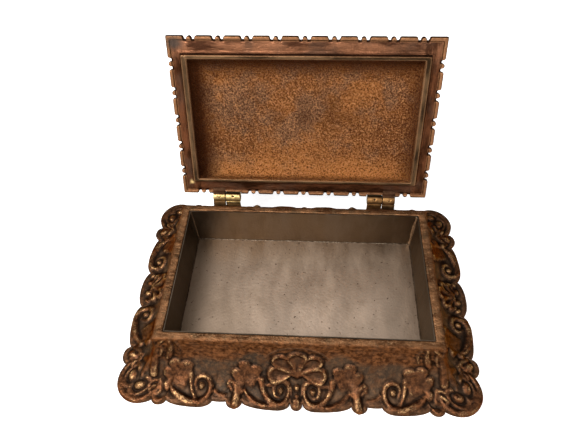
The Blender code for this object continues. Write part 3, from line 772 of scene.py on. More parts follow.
class LidLoop:
    """The columns of the lid's rings: along the front, up the right, along the back and down the left."""

    def __init__(self):
        long_centres = [BEAD_PITCH * i for i in range(-4, 5)]
        side_centres = [SIDE_PITCH * i for i in range(-2, 3)]
        recess_ends = [side * x for side in (-1, 1) for x in (41.4, 41.5, 51.9, 52)]
        self.long_places = edge_columns(long_centres, LID_HALF, recess_ends)
        self.side_places = edge_columns(side_centres, LID_DEEP)
        runs = (self.long_places, self.side_places, self.long_places[::-1], self.side_places[::-1])
        side = np.concatenate([np.full(len(run) - 1, number) for number, run in enumerate(runs)])
        self.place = np.concatenate([run[:-1] for run in runs])
        self.front, self.right, self.back, self.left = (side == number for number in range(4))
        self.is_long = self.front | self.back
        self.share = self.place / np.where(self.is_long, LID_HALF, LID_DEEP)
        # The two beads of the back that the hinges would cover are left out
        front_beads = bead_inset(self.place, long_centres)
        back_beads = bead_inset(self.place, long_centres, skip=(1, 7))
        side_beads = bead_inset(self.place, side_centres)
        beads = np.where(self.front, front_beads, np.where(self.back, back_beads, side_beads))
        self.inset, self.bead = beads
        recess = self.back & (np.abs(self.place) > 41.45) & (np.abs(self.place) < 51.95)
        self.let_in = NOTCH * self.inset + np.where(recess, RECESS, 0)

    def ring(self, half_w, low_y, high_y, radius, z, take=0.0, square=False):
        """One ring of the lid. It follows a share of the notches, take, and square keeps them upright."""
        middle = (low_y + high_y) / 2
        half_d = (high_y - low_y) / 2
        along_x = squared(self.place, LID_HALF, half_w) if square else self.share * half_w
        along_y = squared(self.place, LID_DEEP, half_d) if square else self.share * half_d
        x = np.where(self.is_long, along_x, np.where(self.right, half_w, -half_w))
        y = np.where(self.is_long, np.where(self.front, low_y, high_y), middle + along_y)
        # Rounded corners
        over_x = np.clip(np.abs(x) - (half_w - radius), 0, None)
        over_y = np.clip(np.abs(y - middle) - (half_d - radius), 0, None)
        both = (over_x > 0) & (over_y > 0)
        size = np.hypot(over_x, over_y)
        pull = np.where(both & (size > 0), np.maximum(over_x, over_y) / np.maximum(size, 1e-6), 1)
        x = np.sign(x) * (np.abs(x) - over_x * (1 - pull))
        y = middle + np.sign(y - middle) * (np.abs(y - middle) - over_y * (1 - pull))
        taken = self.let_in * take
        y = y + np.where(self.front, taken, 0) - np.where(self.back, taken, 0)
        x = x - np.where(self.right, taken, 0) + np.where(self.left, taken, 0)
        return np.stack([x, y, np.full(x.shape, 1.0) * z], axis=-1)

    def inset_ring(self, off, rise, take):
        """Ring at a distance in from the lid's outline, and a height over its underside."""
        z = LID_UNDER + rise
        return self.ring(LID_HALF - off, LID_FRONT + off, LID_BACK - off, 0.3, z, take, off < 3.5)

    def rib_ring(self, across, z):
        """Ring of the rib, at a share of its thickness out from the dish."""
        side, fore, aft = (across * thick for thick in RIB_THICK)
        return self.ring(DISH_WIDE + side, DISH_LOW - fore, DISH_HIGH + aft, 0.45, z)


def lid_rings(loop, dome):
    """(ring, zone, painted shadow) from the middle of the dish out over the edge and up to the dome."""
    made = []
    for off, rise in flowing(DISH, 5)[::-1]:
        radius = float(np.interp(off, (0, 2.6, 6, 13), (0.5, 1.5, 3.5, 6)))
        radius = max(min(radius, (DISH_HIGH - DISH_LOW) / 2 - off), 0.05)
        ring = loop.ring(DISH_WIDE - off, DISH_LOW + off, DISH_HIGH - off, radius, LID_UNDER + rise)
        made.append((ring, IN_DISH, 0))
    for zone, section in ((ON_RIB, RIB_CREST), (ON_BRIM, RIB_FOOT)):
        made += [(loop.rib_ring(across, LID_UNDER - drop), zone, dark) for across, drop, dark in section]
    inner = loop.rib_ring(1.5, LID_UNDER + BRIM_RISE)
    outer = loop.inset_ring(3, BRIM_RISE, 0)
    made += [(inner * (1 - step) + outer * step, ON_BRIM, 0) for step in (0.2, 0.4, 0.6, 0.8, 1.0)]
    for off, rise, take, dark in LID_RIM:
        made.append((loop.inset_ring(off, rise, take), ON_EDGE if rise < 3.3 else OVER_EDGE, dark))
    made += [(loop.inset_ring(off, rise, 0), ON_DOME, 0) for off, rise in dome if off < FIELD_IN + 0.01]
    return made


def build_lid():
    loop = LidLoop()
    inset = loop.inset[None, :]
    bead = loop.bead[None, :]
    dome = flowing(DOME, 7)[1:]
    rings, zones, darks = zip(*lid_rings(loop, dome))
    grid = np.stack(rings)
    rows, columns = grid.shape[:2]
    zone = np.array(zones)[:, None] + 0 * loop.place[None, :]
    shadow = np.array(darks)[:, None] + 0 * loop.place[None, :]
    x = grid[:, :, 0]
    y = grid[:, :, 1]
    z_shut = grid[:, :, 2].copy()
    dish = (zone == IN_DISH) * 1.0
    top = zone == ON_DOME
    edge = (zone == ON_EDGE) * 1.0
    polish = np.zeros(x.shape)
    raised = np.zeros(x.shape)
    raised[top], polish[top] = dome_relief(x[top], y[top])
    # The dish is cast rough: pebbles, and a slow unevenness of the field
    pebble = 0.12 * value_noise(x, y, 1.9, 41) + 0.06 * value_noise(x, y, 3.4, 43)
    pebble += 0.25 * value_noise(x, y, 15, 45)
    under = dish * pebble + (zone >= ON_RIB) * (zone <= ON_EDGE) * 0.05 * value_noise(x, y, 2.6, 47)
    bead_lift = np.where(z_shut < LID_UNDER + 0.3, edge * bead, 0) * BEAD_LIFT
    # Each notch runs on a little way into the brim as a hollow
    sink = np.where(z_shut < LID_UNDER + BRIM_RISE, edge * 0.7 * inset * (1 - bead), 0)
    grid[:, :, 2] += raised + under - bead_lift + sink
    local = (raised - blurred(raised, 3)) / 0.25
    cut = unit((inset - 0.4) / 0.4) * edge
    # The rib is rubbed bright along its two edges only
    across = np.arange(rows)[:, None] - zones.index(ON_RIB)
    lip = (zone == ON_RIB) * np.where((across == 1) | (across == 4), 0.6, 0.12)
    # Painted highlight on the faces of the pads between the notches, which goes into rub
    pad = edge * (0.75 + 0.25 * bead) * (1 - cut)
    corner = np.exp(-(((x + 75) / 5) ** 2) - (((y - LID_FRONT - 4) / 3.4) ** 2))
    chip = np.exp(-(((x + 73.6) / 1.3) ** 4) - (((y - RIB[2] - 1.6) / 1.1) ** 4))
    attributes = {
        "rub": unit(local * 0.5 + polish * 0.3) * top + pad * (shadow < 0.1) + lip,
        # hollow: darker in the dome's hollows and the notches, with the painted shadow along the rib's foot
        # and round the lid's edge
        "hollow": unit(unit(-local) * top + np.maximum(cut * 0.9, shadow)),
        "dish": dish,
        "brim": (zone == ON_BRIM) * 1.0,
        "shade": dish * slope_painted_shade(x, y - (DISH_LOW + DISH_HIGH) / 2),
        "tarnish": corner * ((zone == ON_BRIM) | (zone == ON_EDGE)),
        "mark": chip * (zone == ON_BRIM),
        "edge": edge,
        # Painted light on the brim towards the lid's front edge, which is the top when open
        "front_brim_painted_light": unit((-y - 30) / 14),
        "flank": (np.abs(x) > DISH_WIDE) * 1.0,
        "rib": (zone == ON_RIB) * 1.0,
        # Painted light on the dish's slope by the hinges, which faces up when the lid is open
        "back_slope_painted_light": dish * unit(1 - (DISH_HIGH - y) / 15) * unit((x + 72) / 16),
    }
    field = lid_field(loop.long_places, loop.side_places, dome, (rows - 1) * columns)
    field_points, field_faces, field_values = field
    points = np.concatenate([grid.reshape(-1, 3), field_points])
    bare = np.zeros(len(field_points))
    for name, value in attributes.items():
        attributes[name] = np.concatenate([value.ravel(), field_values.get(name, bare)])
    faces = grid_faces(rows, columns, False)[:, ::-1].tolist() + field_faces.tolist()
    faces.append(list(range(columns))[::-1])
    obj = make_mesh("lid_casting_relief", opened(points), faces, "lid", LID_BRONZE, attributes)
    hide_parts("lid_casting")


def opened(points):
    """Points of the lid, given shut, as they lie with the lid open."""
    turn = math.radians(-OPEN_ANGLE)
    c = math.cos(turn)
    s = math.sin(turn)
    points = np.array(points, float)
    y = points[:, 1] - AXIS_Y
    z = points[:, 2] - AXIS_Z
    return np.stack([points[:, 0], AXIS_Y + y * c - z * s, AXIS_Z + y * s + z * c], axis=1)


# ---------------------------------------------------------------- small pieces

def soft_block(name, low, high, bevel, body, material, slot):
    """Block with rounded edges and a slightly uneven face, given shut when it rides on the lid."""
    bm = bmesh.new()
    bmesh.ops.create_cube(bm, size=1)
    for vert in bm.verts:
        vert.co = [low[i] + (vert.co[i] + 0.5) * (high[i] - low[i]) for i in range(3)]
    bmesh.ops.bevel(bm, geom=bm.edges[:], offset=bevel, segments=3, profile=0.5, affect="EDGES")
    long_edges = [edge for edge in bm.edges if edge.calc_length() > 2.5]
    bmesh.ops.subdivide_edges(bm, edges=long_edges, cuts=3, use_grid_fill=True)
    points = np.array([tuple(v.co) for v in bm.verts])
    x, y, z = points.T.copy()
    points += 0.05 * np.stack([value_noise(x + points[:, i], z - y, 1.7, 50 + i) for i in range(3)], axis=1)
    faces = [[v.index for v in f.verts] for f in bm.faces]
    bm.free()
    points = opened(points) if body == "lid" else points
    obj = make_mesh(name, points, faces, body, material)
    obj.data.set_sharp_from_angle(angle=math.radians(50))
    return obj


def barrel(name, left, right, mark, body, material):
    """Hinge barrel: a short tube with softened ends and a struck mark. The base's has a rolled seam."""
    middle = (left + right) / 2
    profile = [(x, BARREL_R - 0.3 + min(0.3, (x - left) * 1.4)) for x in (left, left + 0.06, left + 0.3)]
    profile += [(x, BARREL_R) for x in np.linspace(left + 0.5, right - 0.5, 22)]
    profile += [(x, BARREL_R - 0.3 + min(0.3, (right - x) * 1.4)) for x in (right - 0.3, right - 0.06, right)]
    profile += [(right, 2.3), (right, BORE_R), (middle, BORE_R), (left, BORE_R), (left, 2.3)]
    angles = np.linspace(0, 2 * math.pi, 96, endpoint=False)
    px = np.array([p[0] for p in profile])[:, None] + 0 * angles[None, :]
    radius = np.array([p[1] for p in profile])[:, None] + 0 * angles[None, :]
    outer = radius > BARREL_R - 0.05
    # Angle 0 faces the front and rises towards the top
    up = angles[None, :] + 0 * px
    seam = bell((up - 2 * math.pi * (up > math.pi)) * BARREL_R / 0.26) * (body == "base")
    dent = mark(px - middle, up)
    uneven = 0.035 * value_noise(px, up * BARREL_R, 1.6, 61) + 0.02 * value_noise(px, up * BARREL_R, 0.7, 63)
    radius = radius - outer * (0.28 * seam + dent) + outer * uneven
    y = AXIS_Y - radius * np.cos(up)
    z = AXIS_Z + radius * np.sin(up)
    points = np.stack([px, y, z], axis=-1).reshape(-1, 3)
    # Painted shade over the top of the base's barrel, where it sits under the lid's edge
    shade_under_lid = unit((up - 1.15) / 0.35) * (up < 4.3) * (body == "base")
    dark = unit(seam + 0.8 * shade_under_lid + dent * 2.6) * outer
    attributes = {
        "hollow": np.maximum(dark, (~outer) * 0.5),
        "rub": unit(0.5 + 0.5 * np.sin(up) + 0 * px) * outer,
    }
    faces = grid_faces(len(profile), len(angles), True).tolist()
    return make_mesh(name, points, faces, body, material, attributes)


def dimple(off, up):
    """Round dent struck in a barrel."""
    lean = (up - math.radians(50)) * BARREL_R
    far = np.hypot(off, lean) / 0.75
    return 0.42 * np.exp(-(far**4))


def vee(off, up):
    """Dent of two strokes that meet."""
    lean = (up - math.radians(38)) * BARREL_R
    line = np.abs(np.abs(off) * 1.5 - (lean + 0.9)) / 0.32
    return 0.3 * bell(line) * (np.abs(off) < 1.3) * (np.abs(lean) < 1.7)


def lid_lug(name, left, right):
    """Lug of the lid that the hinge barrel lies in, as a prism along x."""
    turns = np.radians(180 - 38 + np.arange(9) * 76 / 8)
    saddle = BARREL_R + 0.3
    arc = [(AXIS_Y + saddle * math.cos(turn), AXIS_Z + saddle * math.sin(turn)) for turn in turns]
    outline = np.array([(47, 38.6), (51.3, 38.6), *arc, (49.6, 33.6), (49.2, 34.9), (47, 34.9)])
    count = len(outline)
    levels = []
    for x, shrink in ((left, 0.06), (left + 0.2, 0), (right - 0.2, 0), (right, 0.06)):
        drawn_in = outline + (outline.mean(axis=0) - outline) * shrink
        levels.append(np.column_stack([np.full(count, x), drawn_in]))
    faces = grid_faces(4, count, False).tolist()
    faces += [list(range(count)), list(range(3 * count, 4 * count))[::-1]]
    obj = make_mesh(name, opened(np.concatenate(levels)), faces, "lid", LID_PLAIN)
    face_outwards(obj.data)
    obj.data.set_sharp_from_angle(angle=math.radians(40))


def hinges():
    for hand, side in (("left", -1), ("right", 1)):
        metal = LEFT_BRASS if side < 0 else RIGHT_BRASS
        low, high = sorted(side * x for x in BASE_KNUCKLE)
        strap = (low, 50.7, 20.6), (high, 51.7, AXIS_Z - 1.4)
        for piece in (
            barrel(f"hinge_base_barrel_{hand}", low, high, dimple, "base", metal),
            soft_block(f"hinge_base_strap_{hand}", *strap, 0.22, "base", metal, "brass"),
        ):
            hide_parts(f"hinge_base_knuckle_{hand}")
        low, high = sorted((side * (BASE_KNUCKLE[0] - 0.5), side * BASE_KNUCKLE[1]))
        pad = (low, 46, 19.6), (high, 50.4, 31)
        soft_block(f"base_hinge_pad_{hand}", *pad, 0.4, "base", BASE_PLAIN, "base_bronze")
        low, high = sorted(side * x for x in LID_KNUCKLE)
        middle = (low + high) / 2
        # The heel takes the brass with painted shade
        heel = (low, AXIS_Y + 2, 32.7), (high, AXIS_Y + 7, 35.1)
        tang = (middle - 2.8, 44.6, 36.2), (middle + 2.8, 51.4, 37.3)
        for piece in (
            barrel(f"hinge_lid_barrel_{hand}", low, high, vee, "lid", metal),
            soft_block(f"hinge_lid_heel_{hand}", *heel, 0.3, "lid", SHADED_BRASS, "brass"),
            soft_block(f"hinge_lid_tang_{hand}", *tang, 0.2, "lid", metal, "brass"),
        ):
            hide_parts(f"hinge_lid_knuckle_{hand}")
        lid_lug(f"lid_lug_{hand}", low, high)


# Section of a solder fillet as shares of its size along each wall
FILLET = ((1.0, -0.12), (1.0, 0.05), (0.5, 0.2), (0.2, 0.5), (0.05, 1.0), (-0.12, 1.0))


def solder_seam(number, start, end, out_a, out_b, size):
    """One ragged fillet from start to end, in the corner between two walls that face out_a and out_b."""
    start, end, out_a, out_b = (np.array(vector, float) for vector in (start, end, out_a, out_b))
    length = np.linalg.norm(end - start)
    count = max(12, int(length / 0.8))
    points = []
    for t in np.linspace(0, 1, count):
        slow = float(value_noise(t * length, number * 7.3, 7, 71))
        quick = float(value_noise(t * length, number * 3.3, 2.4, 73))
        wide = max(size * (0.75 + 0.3 * slow + 0.16 * quick), 0.2)
        base = start + (end - start) * t
        points.append(base - (out_a + out_b) * 0.12)
        for a, b in FILLET:
            along_a = wide * a * (1 if a > 0 else 0.2)
            along_b = wide * b * (1 if b > 0 else 0.2)
            points.append(base + out_a * along_a + out_b * along_b)
    around = len(FILLET) + 1
    faces = grid_faces(count, around, False).tolist()
    faces += [list(range(around)), list(range((count - 1) * around, count * around))[::-1]]
    obj = make_mesh(f"liner_solder_{number}", points, faces, "base", SOLDER)
    face_outwards(obj.data)


def solder():
    """Fillets along the foot of the liner's walls and up its corners."""
    wide, deep = (half - LINER_GAP - SHEET - 0.02 for half in OPENING)
    low = LINER_FLOOR
    seams = []
    for side in (-1, 1):
        seams.append(((-wide, side * deep, low), (wide, side * deep, low), (0, -side, 0), (0, 0, 1), 0.62))
        seams.append(((side * wide, -deep, low), (side * wide, deep, low), (-side, 0, 0), (0, 0, 1), 0.62))
        for other in (-1, 1):
            start = (side * wide, other * deep, low)
            end = (side * wide, other * deep, LINER_TOP)
            # The back right corner was filled more heavily
            size = 1.5 if side > 0 and other > 0 else 0.7
            seams.append((start, end, (-side, 0, 0), (0, -other, 0), size))
    for number, seam in enumerate(seams, 1):
        solder_seam(number, *seam)


# ---------------------------------------------------------------- materials

class Paint:
    """A material's node tree, with short ways to add nodes."""

    def __init__(self, name, metallic, roughness, glance=(0.5, 0.37, 0.27)):
        self.material = bpy.data.materials.new(name)
        self.material.use_nodes = True
        self.tree = self.material.node_tree
        self.shader = self.tree.nodes["Principled BSDF"]
        self.shader.inputs["Metallic"].default_value = metallic
        self.shader.inputs["Roughness"].default_value = roughness
        # Old metal keeps its colour at a glancing angle
        self.shader.inputs["Specular Tint"].default_value = (*glance, 1)
        coords = self.tree.nodes.new("ShaderNodeTexCoord")
        self.place = coords.outputs["Object"]

    def put(self, target, value):
        """Links a socket to an input, or sets the input to a plain value."""
        if hasattr(value, "is_linked"):
            self.tree.links.new(value, target)
        elif isinstance(value, tuple):
            target.default_value = (*value, 1) if len(target.default_value) == 4 else value
        else:
            target.default_value = value

    def attribute(self, name):
        node = self.tree.nodes.new("ShaderNodeAttribute")
        node.attribute_name = name
        return node.outputs["Fac"]

    def stretched(self, scale):
        node = self.tree.nodes.new("ShaderNodeMapping")
        self.put(node.inputs["Vector"], self.place)
        node.inputs["Scale"].default_value = scale
        return node.outputs["Vector"]

    def noise(self, scale, detail=3.0, rough=0.55, where=None):
        node = self.tree.nodes.new("ShaderNodeTexNoise")
        self.put(node.inputs["Vector"], where or self.place)
        node.inputs["Scale"].default_value = scale
        node.inputs["Detail"].default_value = detail
        node.inputs["Roughness"].default_value = rough
        return node.outputs["Fac"]

    def far_from(self, point):
        """Distance from a point, in metres."""
        node = self.tree.nodes.new("ShaderNodeVectorMath")
        node.operation = "DISTANCE"
        self.put(node.inputs[0], self.place)
        node.inputs[1].default_value = point
        return node.outputs["Value"]

    def ramp(self, factor, *stops):
        node = self.tree.nodes.new("ShaderNodeValToRGB")
        self.put(node.inputs["Fac"], factor)
        elements = node.color_ramp.elements
        while len(elements) < len(stops):
            elements.new(0.5)
        for element, (place, colour) in zip(elements, stops):
            element.position = place
            element.color = (colour, colour, colour, 1) if isinstance(colour, (int, float)) else (*colour, 1)
        return node.outputs["Color"]

    def mix(self, factor, first, second):
        node = self.tree.nodes.new("ShaderNodeMix")
        node.data_type = "RGBA"
        self.put(node.inputs[0], factor)
        self.put(node.inputs[6], first)
        self.put(node.inputs[7], second)
        return node.outputs[2]

    def over(self, first, second, factor, low, high, most=1.0):
        """second laid over first: not at all where factor is low, and as far as most where it is high."""
        return self.mix(self.ramp(factor, (low, 0.0), (high, most)), first, second)

    def combine(self, operation, first, second):
        node = self.tree.nodes.new("ShaderNodeMath")
        node.operation = operation
        self.put(node.inputs[0], first)
        self.put(node.inputs[1], second)
        return node.outputs[0]

    def total(self, *terms):
        """Sum of (value, weight) pairs."""
        parts = [self.combine("MULTIPLY", value, weight) for value, weight in terms]
        whole = parts[0]
        for part in parts[1:]:
            whole = self.combine("ADD", whole, part)
        return whole

    def bump(self, height, distance, strength=1.0):
        node = self.tree.nodes.new("ShaderNodeBump")
        node.inputs["Strength"].default_value = strength
        node.inputs["Distance"].default_value = distance
        self.put(node.inputs["Height"], height)
        self.put(self.shader.inputs["Normal"], node.outputs["Normal"])

    def finish(self, colour, roughness=None):
        self.put(self.shader.inputs["Base Color"], colour)
        if roughness is not None:
            self.put(self.shader.inputs["Roughness"], roughness)
        return self.material


def base_bronze():
    paint = Paint("relief_bronze", 1.0, 0.42)
    names = ("rub", "hollow", "bark", "rim", "ornament")
    rub, hollow, bark_zone, rim, ornament = map(paint.attribute, names)
    broad = paint.noise(38, 3)
    patch = paint.noise(150, 4, 0.65)
    fine = paint.noise(420, 4, 0.6)
    speck = paint.noise(1300, 2)
    # The ground is dark and greyish, and the bark above it is red brown
    patina = paint.over((0.046, 0.031, 0.021), (0.078, 0.046, 0.027), broad, 0.38, 0.62)
    patina = paint.over(patina, (0.15, 0.078, 0.04), fine, 0.46, 0.64, 0.8)
    patina = paint.over(patina, (0.1, 0.041, 0.0175), patch, 0.5, 0.64, 0.6)
    rough_bark = paint.over((0.052, 0.0185, 0.0072), (0.19, 0.074, 0.028), fine, 0.38, 0.62)
    rough_bark = paint.over(rough_bark, (0.075, 0.036, 0.02), patch, 0.5, 0.62, 0.5)
    colour = paint.mix(bark_zone, patina, rough_bark)
    # Ornament in much the same tone, with sparse bright wear on its crests
    chased = paint.over((0.042, 0.0155, 0.0065), (0.15, 0.055, 0.021), fine, 0.38, 0.62)
    chased = paint.over(chased, (0.075, 0.035, 0.019), patch, 0.44, 0.6, 0.6)
    colour = paint.mix(paint.combine("MULTIPLY", ornament, 0.85), colour, chased)
    worn = paint.combine("MULTIPLY", rub, paint.ramp(patch, (0.38, 0.3), (0.6, 1.1)))
    worn = paint.combine("MULTIPLY", worn, paint.ramp(speck, (0.36, 0.35), (0.6, 1.0)))
    colour = paint.over(colour, (0.42, 0.24, 0.105), worn, 0.4, 0.95)
    colour = paint.over(colour, (0.0125, 0.0068, 0.0045), hollow, 0.15, 0.8, 0.92)
    streak = paint.noise(210, 5, 0.7, paint.stretched((0.4, 1.3, 1)))
    top = paint.over((0.075, 0.031, 0.0125), (0.27, 0.13, 0.058), streak, 0.4, 0.6)
    top = paint.over(top, (0.11, 0.066, 0.033), patch, 0.5, 0.64, 0.7)
    top = paint.over(top, (0.4, 0.24, 0.13), speck, 0.58, 0.7, 0.6)
    colour = paint.mix(rim, colour, top)
    paint.bump(paint.total((fine, 0.8), (speck, 0.5), (streak, rim)), 0.0006, 0.9)
    dull = paint.ramp(fine, (0.3, 0.48), (0.7, 0.66))
    return paint.finish(colour, paint.total((dull, 1), (ornament, -0.2)))


def lid_bronze():
    paint = Paint("lid_relief_bronze", 1.0, 0.4)
    rub, hollow, dish, brim, edge = map(paint.attribute, ("rub", "hollow", "dish", "brim", "edge"))
    broad = paint.noise(22, 3)
    patches = paint.noise(55, 3, 0.6)
    fine = paint.noise(520, 4, 0.6)
    grit = paint.noise(1050, 3, 0.6)
    speck = paint.noise(1500, 2)
    # The dish: orange brown with broad greyer patches, and painted light on its slope towards the hinges
    ground = paint.over((0.19, 0.07, 0.023), (0.37, 0.142, 0.041), broad, 0.38, 0.6)
    ground = paint.over(ground, (0.2, 0.112, 0.066), patches, 0.46, 0.6, 0.75)
    ground = paint.over(ground, (0.6, 0.25, 0.072), paint.attribute("back_slope_painted_light"), 0.0, 0.9, 0.75)
    ground = paint.over(ground, (0.6, 0.28, 0.11), grit, 0.5, 0.64, 0.75)
    ground = paint.mix(paint.ramp(grit, (0.36, 0.9), (0.5, 0.0)), ground, (0.085, 0.032, 0.0125))
    # Painted shade on the slopes of the dish
    shade = paint.attribute("shade")
    ground = paint.over(ground, (0.05, 0.0145, 0.005), shade, 0.0, 0.85, 0.95)
    plain = paint.over((0.06, 0.022, 0.009), (0.165, 0.067, 0.028), fine, 0.38, 0.62)
    drawn = paint.noise(170, 5, 0.65, paint.stretched((0.22, 1.0, 1.0)))
    upright = paint.noise(170, 5, 0.65, paint.stretched((1.0, 0.3, 0.3)))
    drawn = paint.mix(paint.attribute("flank"), drawn, upright)
    border = paint.over((0.034, 0.012, 0.005), (0.128, 0.045, 0.019), drawn, 0.41, 0.59)
    # Painted light: the brim is lighter towards the lid's front edge
    lit_brim = paint.over((0.062, 0.024, 0.012), (0.265, 0.113, 0.056), drawn, 0.41, 0.59)
    border = paint.mix(paint.attribute("front_brim_painted_light"), border, lit_brim)
    border = paint.over(border, (0.085, 0.045, 0.028), patches, 0.5, 0.62, 0.55)
    colour = paint.mix(dish, plain, ground)
    colour = paint.mix(brim, colour, border)
    band = paint.over((0.028, 0.016, 0.008), (0.115, 0.065, 0.032), drawn, 0.41, 0.59)
    colour = paint.mix(paint.attribute("rib"), colour, band)
    # Bright wear on crests and on the rib's edges, and painted highlight on the edge's pads
    worn = paint.combine("MULTIPLY", rub, paint.ramp(speck, (0.25, 0.55), (0.6, 1.0)))
    colour = paint.over(colour, (0.31, 0.15, 0.07), worn, 0.1, 0.8, 0.85)
    colour = paint.over(colour, (0.016, 0.007, 0.004), hollow, 0.1, 0.75, 0.93)
    colour = paint.over(colour, (0.05, 0.043, 0.037), paint.attribute("tarnish"), 0.1, 0.8, 0.8)
    colour = paint.mix(paint.attribute("mark"), colour, (0.75, 0.52, 0.22))
    pebbles = paint.combine("MULTIPLY", dish, 3.6)
    border = paint.combine("ADD", brim, edge)
    grain = paint.total((fine, 0.6), (speck, 0.35), (grit, pebbles), (drawn, border))
    paint.bump(grain, 0.0006, 0.9)
    return paint.finish(colour, paint.ramp(fine, (0.3, 0.36), (0.75, 0.58)))


def plain_bronze(name, dark, light):
    paint = Paint(name, 0.85, 0.45)
    fine = paint.noise(480, 4, 0.6)
    colour = paint.over(dark, light, fine, 0.35, 0.7)
    paint.bump(fine, 0.0003, 0.7)
    return paint.finish(colour, paint.ramp(fine, (0.3, 0.36), (0.75, 0.55)))


def brass(name, light, shade):
    paint = Paint(name, 0.95, 0.3, (0.9, 0.8, 0.6))
    hollow = paint.attribute("hollow")
    fine = paint.noise(900, 4, 0.6)
    broad = paint.noise(210, 3)
    colour = paint.over(shade, light, broad, 0.35, 0.66)
    colour = paint.over(colour, shade, fine, 0.6, 0.75, 0.5)
    colour = paint.over(colour, (0.035, 0.02, 0.01), hollow, 0.15, 0.7, 0.95)
    paint.bump(fine, 0.00012, 0.6)
    return paint.finish(colour, paint.ramp(broad, (0.3, 0.34), (0.75, 0.52)))


def tin():
    paint = Paint("stained_tin", 1.0, 0.45, (0.8, 0.74, 0.68))
    streaks = paint.noise(60, 5, 0.62, paint.stretched((1.4, 0.45, 1.0)))
    broad = paint.noise(16, 3)
    fine = paint.noise(700, 3)
    blots = paint.noise(85, 5, 0.7)
    pits = paint.noise(520, 2, 0.4)
    colour = paint.over((0.42, 0.305, 0.215), (0.54, 0.41, 0.31), broad, 0.3, 0.7)
    colour = paint.over(colour, (0.58, 0.45, 0.34), streaks, 0.42, 0.68, 0.3)
    colour = paint.over(colour, (0.27, 0.185, 0.12), blots, 0.52, 0.7, 0.35)
    # Painted shade: the floor darkens away from a spot in front of and right of the middle, towards the walls
    # and most to the left
    edge = paint.far_from((0.012, -0.018, 0.0025))
    colour = paint.over(colour, (0.22, 0.15, 0.095), edge, 0.035, 0.09, 0.5)
    ring = paint.far_from((0.004, 0.024, 0.0025))
    around = paint.combine("MULTIPLY", paint.ramp(ring, (0.0096, 0.0), (0.0104, 0.3), (0.0112, 0.0)), streaks)
    colour = paint.mix(around, colour, (0.12, 0.08, 0.05))
    colour = paint.over(colour, (0.09, 0.055, 0.035), pits, 0.71, 0.74, 0.8)
    paint.bump(paint.total((fine, 1), (blots, 1.4)), 0.0002, 0.5)
    return paint.finish(colour, paint.ramp(streaks, (0.3, 0.34), (0.7, 0.56)))


def tin_wall_in_painted_shade():
    paint = Paint("stained_tin_wall_painted_shade", 1.0, 0.42, (0.7, 0.66, 0.6))
    runs = paint.noise(70, 5, 0.65, paint.stretched((1.0, 1.0, 0.28)))
    broad = paint.noise(24, 3)
    fine = paint.noise(700, 3)
    # The walls are a much darker copy of the floor's tin: painted shade, with streaked runs over it
    colour = paint.over((0.08, 0.056, 0.036), (0.13, 0.096, 0.066), broad, 0.3, 0.7)
    colour = paint.over(colour, (0.17, 0.13, 0.095), runs, 0.45, 0.68, 0.7)
    paint.bump(paint.total((fine, 1), (runs, 1)), 0.00022, 0.5)
    return paint.finish(colour, paint.ramp(runs, (0.3, 0.32), (0.7, 0.55)))


def solder_metal():
    paint = Paint("old_solder", 0.95, 0.35, (0.8, 0.74, 0.68))
    fine = paint.noise(500, 4, 0.6)
    colour = paint.over((0.07, 0.045, 0.027), (0.2, 0.15, 0.105), fine, 0.4, 0.66)
    paint.bump(fine, 0.00025, 0.7)
    return paint.finish(colour, paint.ramp(fine, (0.3, 0.26), (0.7, 0.5)))


def steel(name, dark, light):
    paint = Paint(name, 0.95, 0.4, (1, 1, 1))
    fine = paint.noise(800, 4, 0.6)
    colour = paint.over(dark, light, fine, 0.35, 0.7)
    paint.bump(fine, 0.0001, 0.5)
    return paint.finish(colour, paint.ramp(fine, (0.3, 0.3), (0.7, 0.5)))


def felt():
    paint = Paint("pressed_felt", 0.0, 0.95, (1, 1, 1))
    fibres = paint.noise(1600, 5, 0.7)
    broad = paint.noise(60, 3)
    colour = paint.over((0.018, 0.04, 0.024), (0.05, 0.095, 0.06), fibres, 0.3, 0.7)
    colour = paint.over(colour, (0.06, 0.09, 0.06), broad, 0.5, 0.8, 0.4)
    paint.shader.inputs["Sheen Weight"].default_value = 0.3
    paint.bump(fibres, 0.0003, 0.8)
    return paint.finish(colour, paint.ramp(fibres, (0.3, 0.85), (0.7, 1.0)))


BASE_BRONZE = base_bronze()
LID_BRONZE = lid_bronze()
BASE_PLAIN = plain_bronze("plain_base_bronze", (0.06, 0.03, 0.017), (0.14, 0.072, 0.04))
LID_PLAIN = plain_bronze("plain_lid_bronze", (0.075, 0.034, 0.017), (0.17, 0.085, 0.045))
LEFT_BRASS = brass("pale_brass", (0.52, 0.37, 0.16), (0.26, 0.16, 0.06))
RIGHT_BRASS = brass("orange_brass", (0.36, 0.19, 0.07), (0.15, 0.07, 0.024))
# A darker copy of the brass for the lid's heel: painted shade
SHADED_BRASS = brass("brass_painted_shade", (0.17, 0.09, 0.035), (0.05, 0.025, 0.01))
TIN = tin()
TIN_WALL_PAINTED_SHADE = tin_wall_in_painted_shade()
SOLDER = solder_metal()
SCREW_STEEL = steel("worn_steel", (0.12, 0.115, 0.11), (0.34, 0.33, 0.32))
PLATE_STEEL = steel("dull_plate", (0.1, 0.09, 0.08), (0.22, 0.2, 0.18))
FELT = felt()


CAD_LOOKS = (
    ("liner_floor", TIN),
    ("liner_wall", TIN_WALL_PAINTED_SHADE),
    ("felt", FELT),
    ("plate", PLATE_STEEL),
    ("screw", SCREW_STEEL),
    ("left", LEFT_BRASS),
    ("right", RIGHT_BRASS),
)


def dress_cad():
    """Gives each CAD node the material of the first word in its name."""
    for name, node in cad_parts.items():
        looks = [material for word, material in CAD_LOOKS if word in name]
        if looks:
            node.data.materials.clear()
            node.data.materials.append(looks[0])


# ---------------------------------------------------------------- floor, light and camera

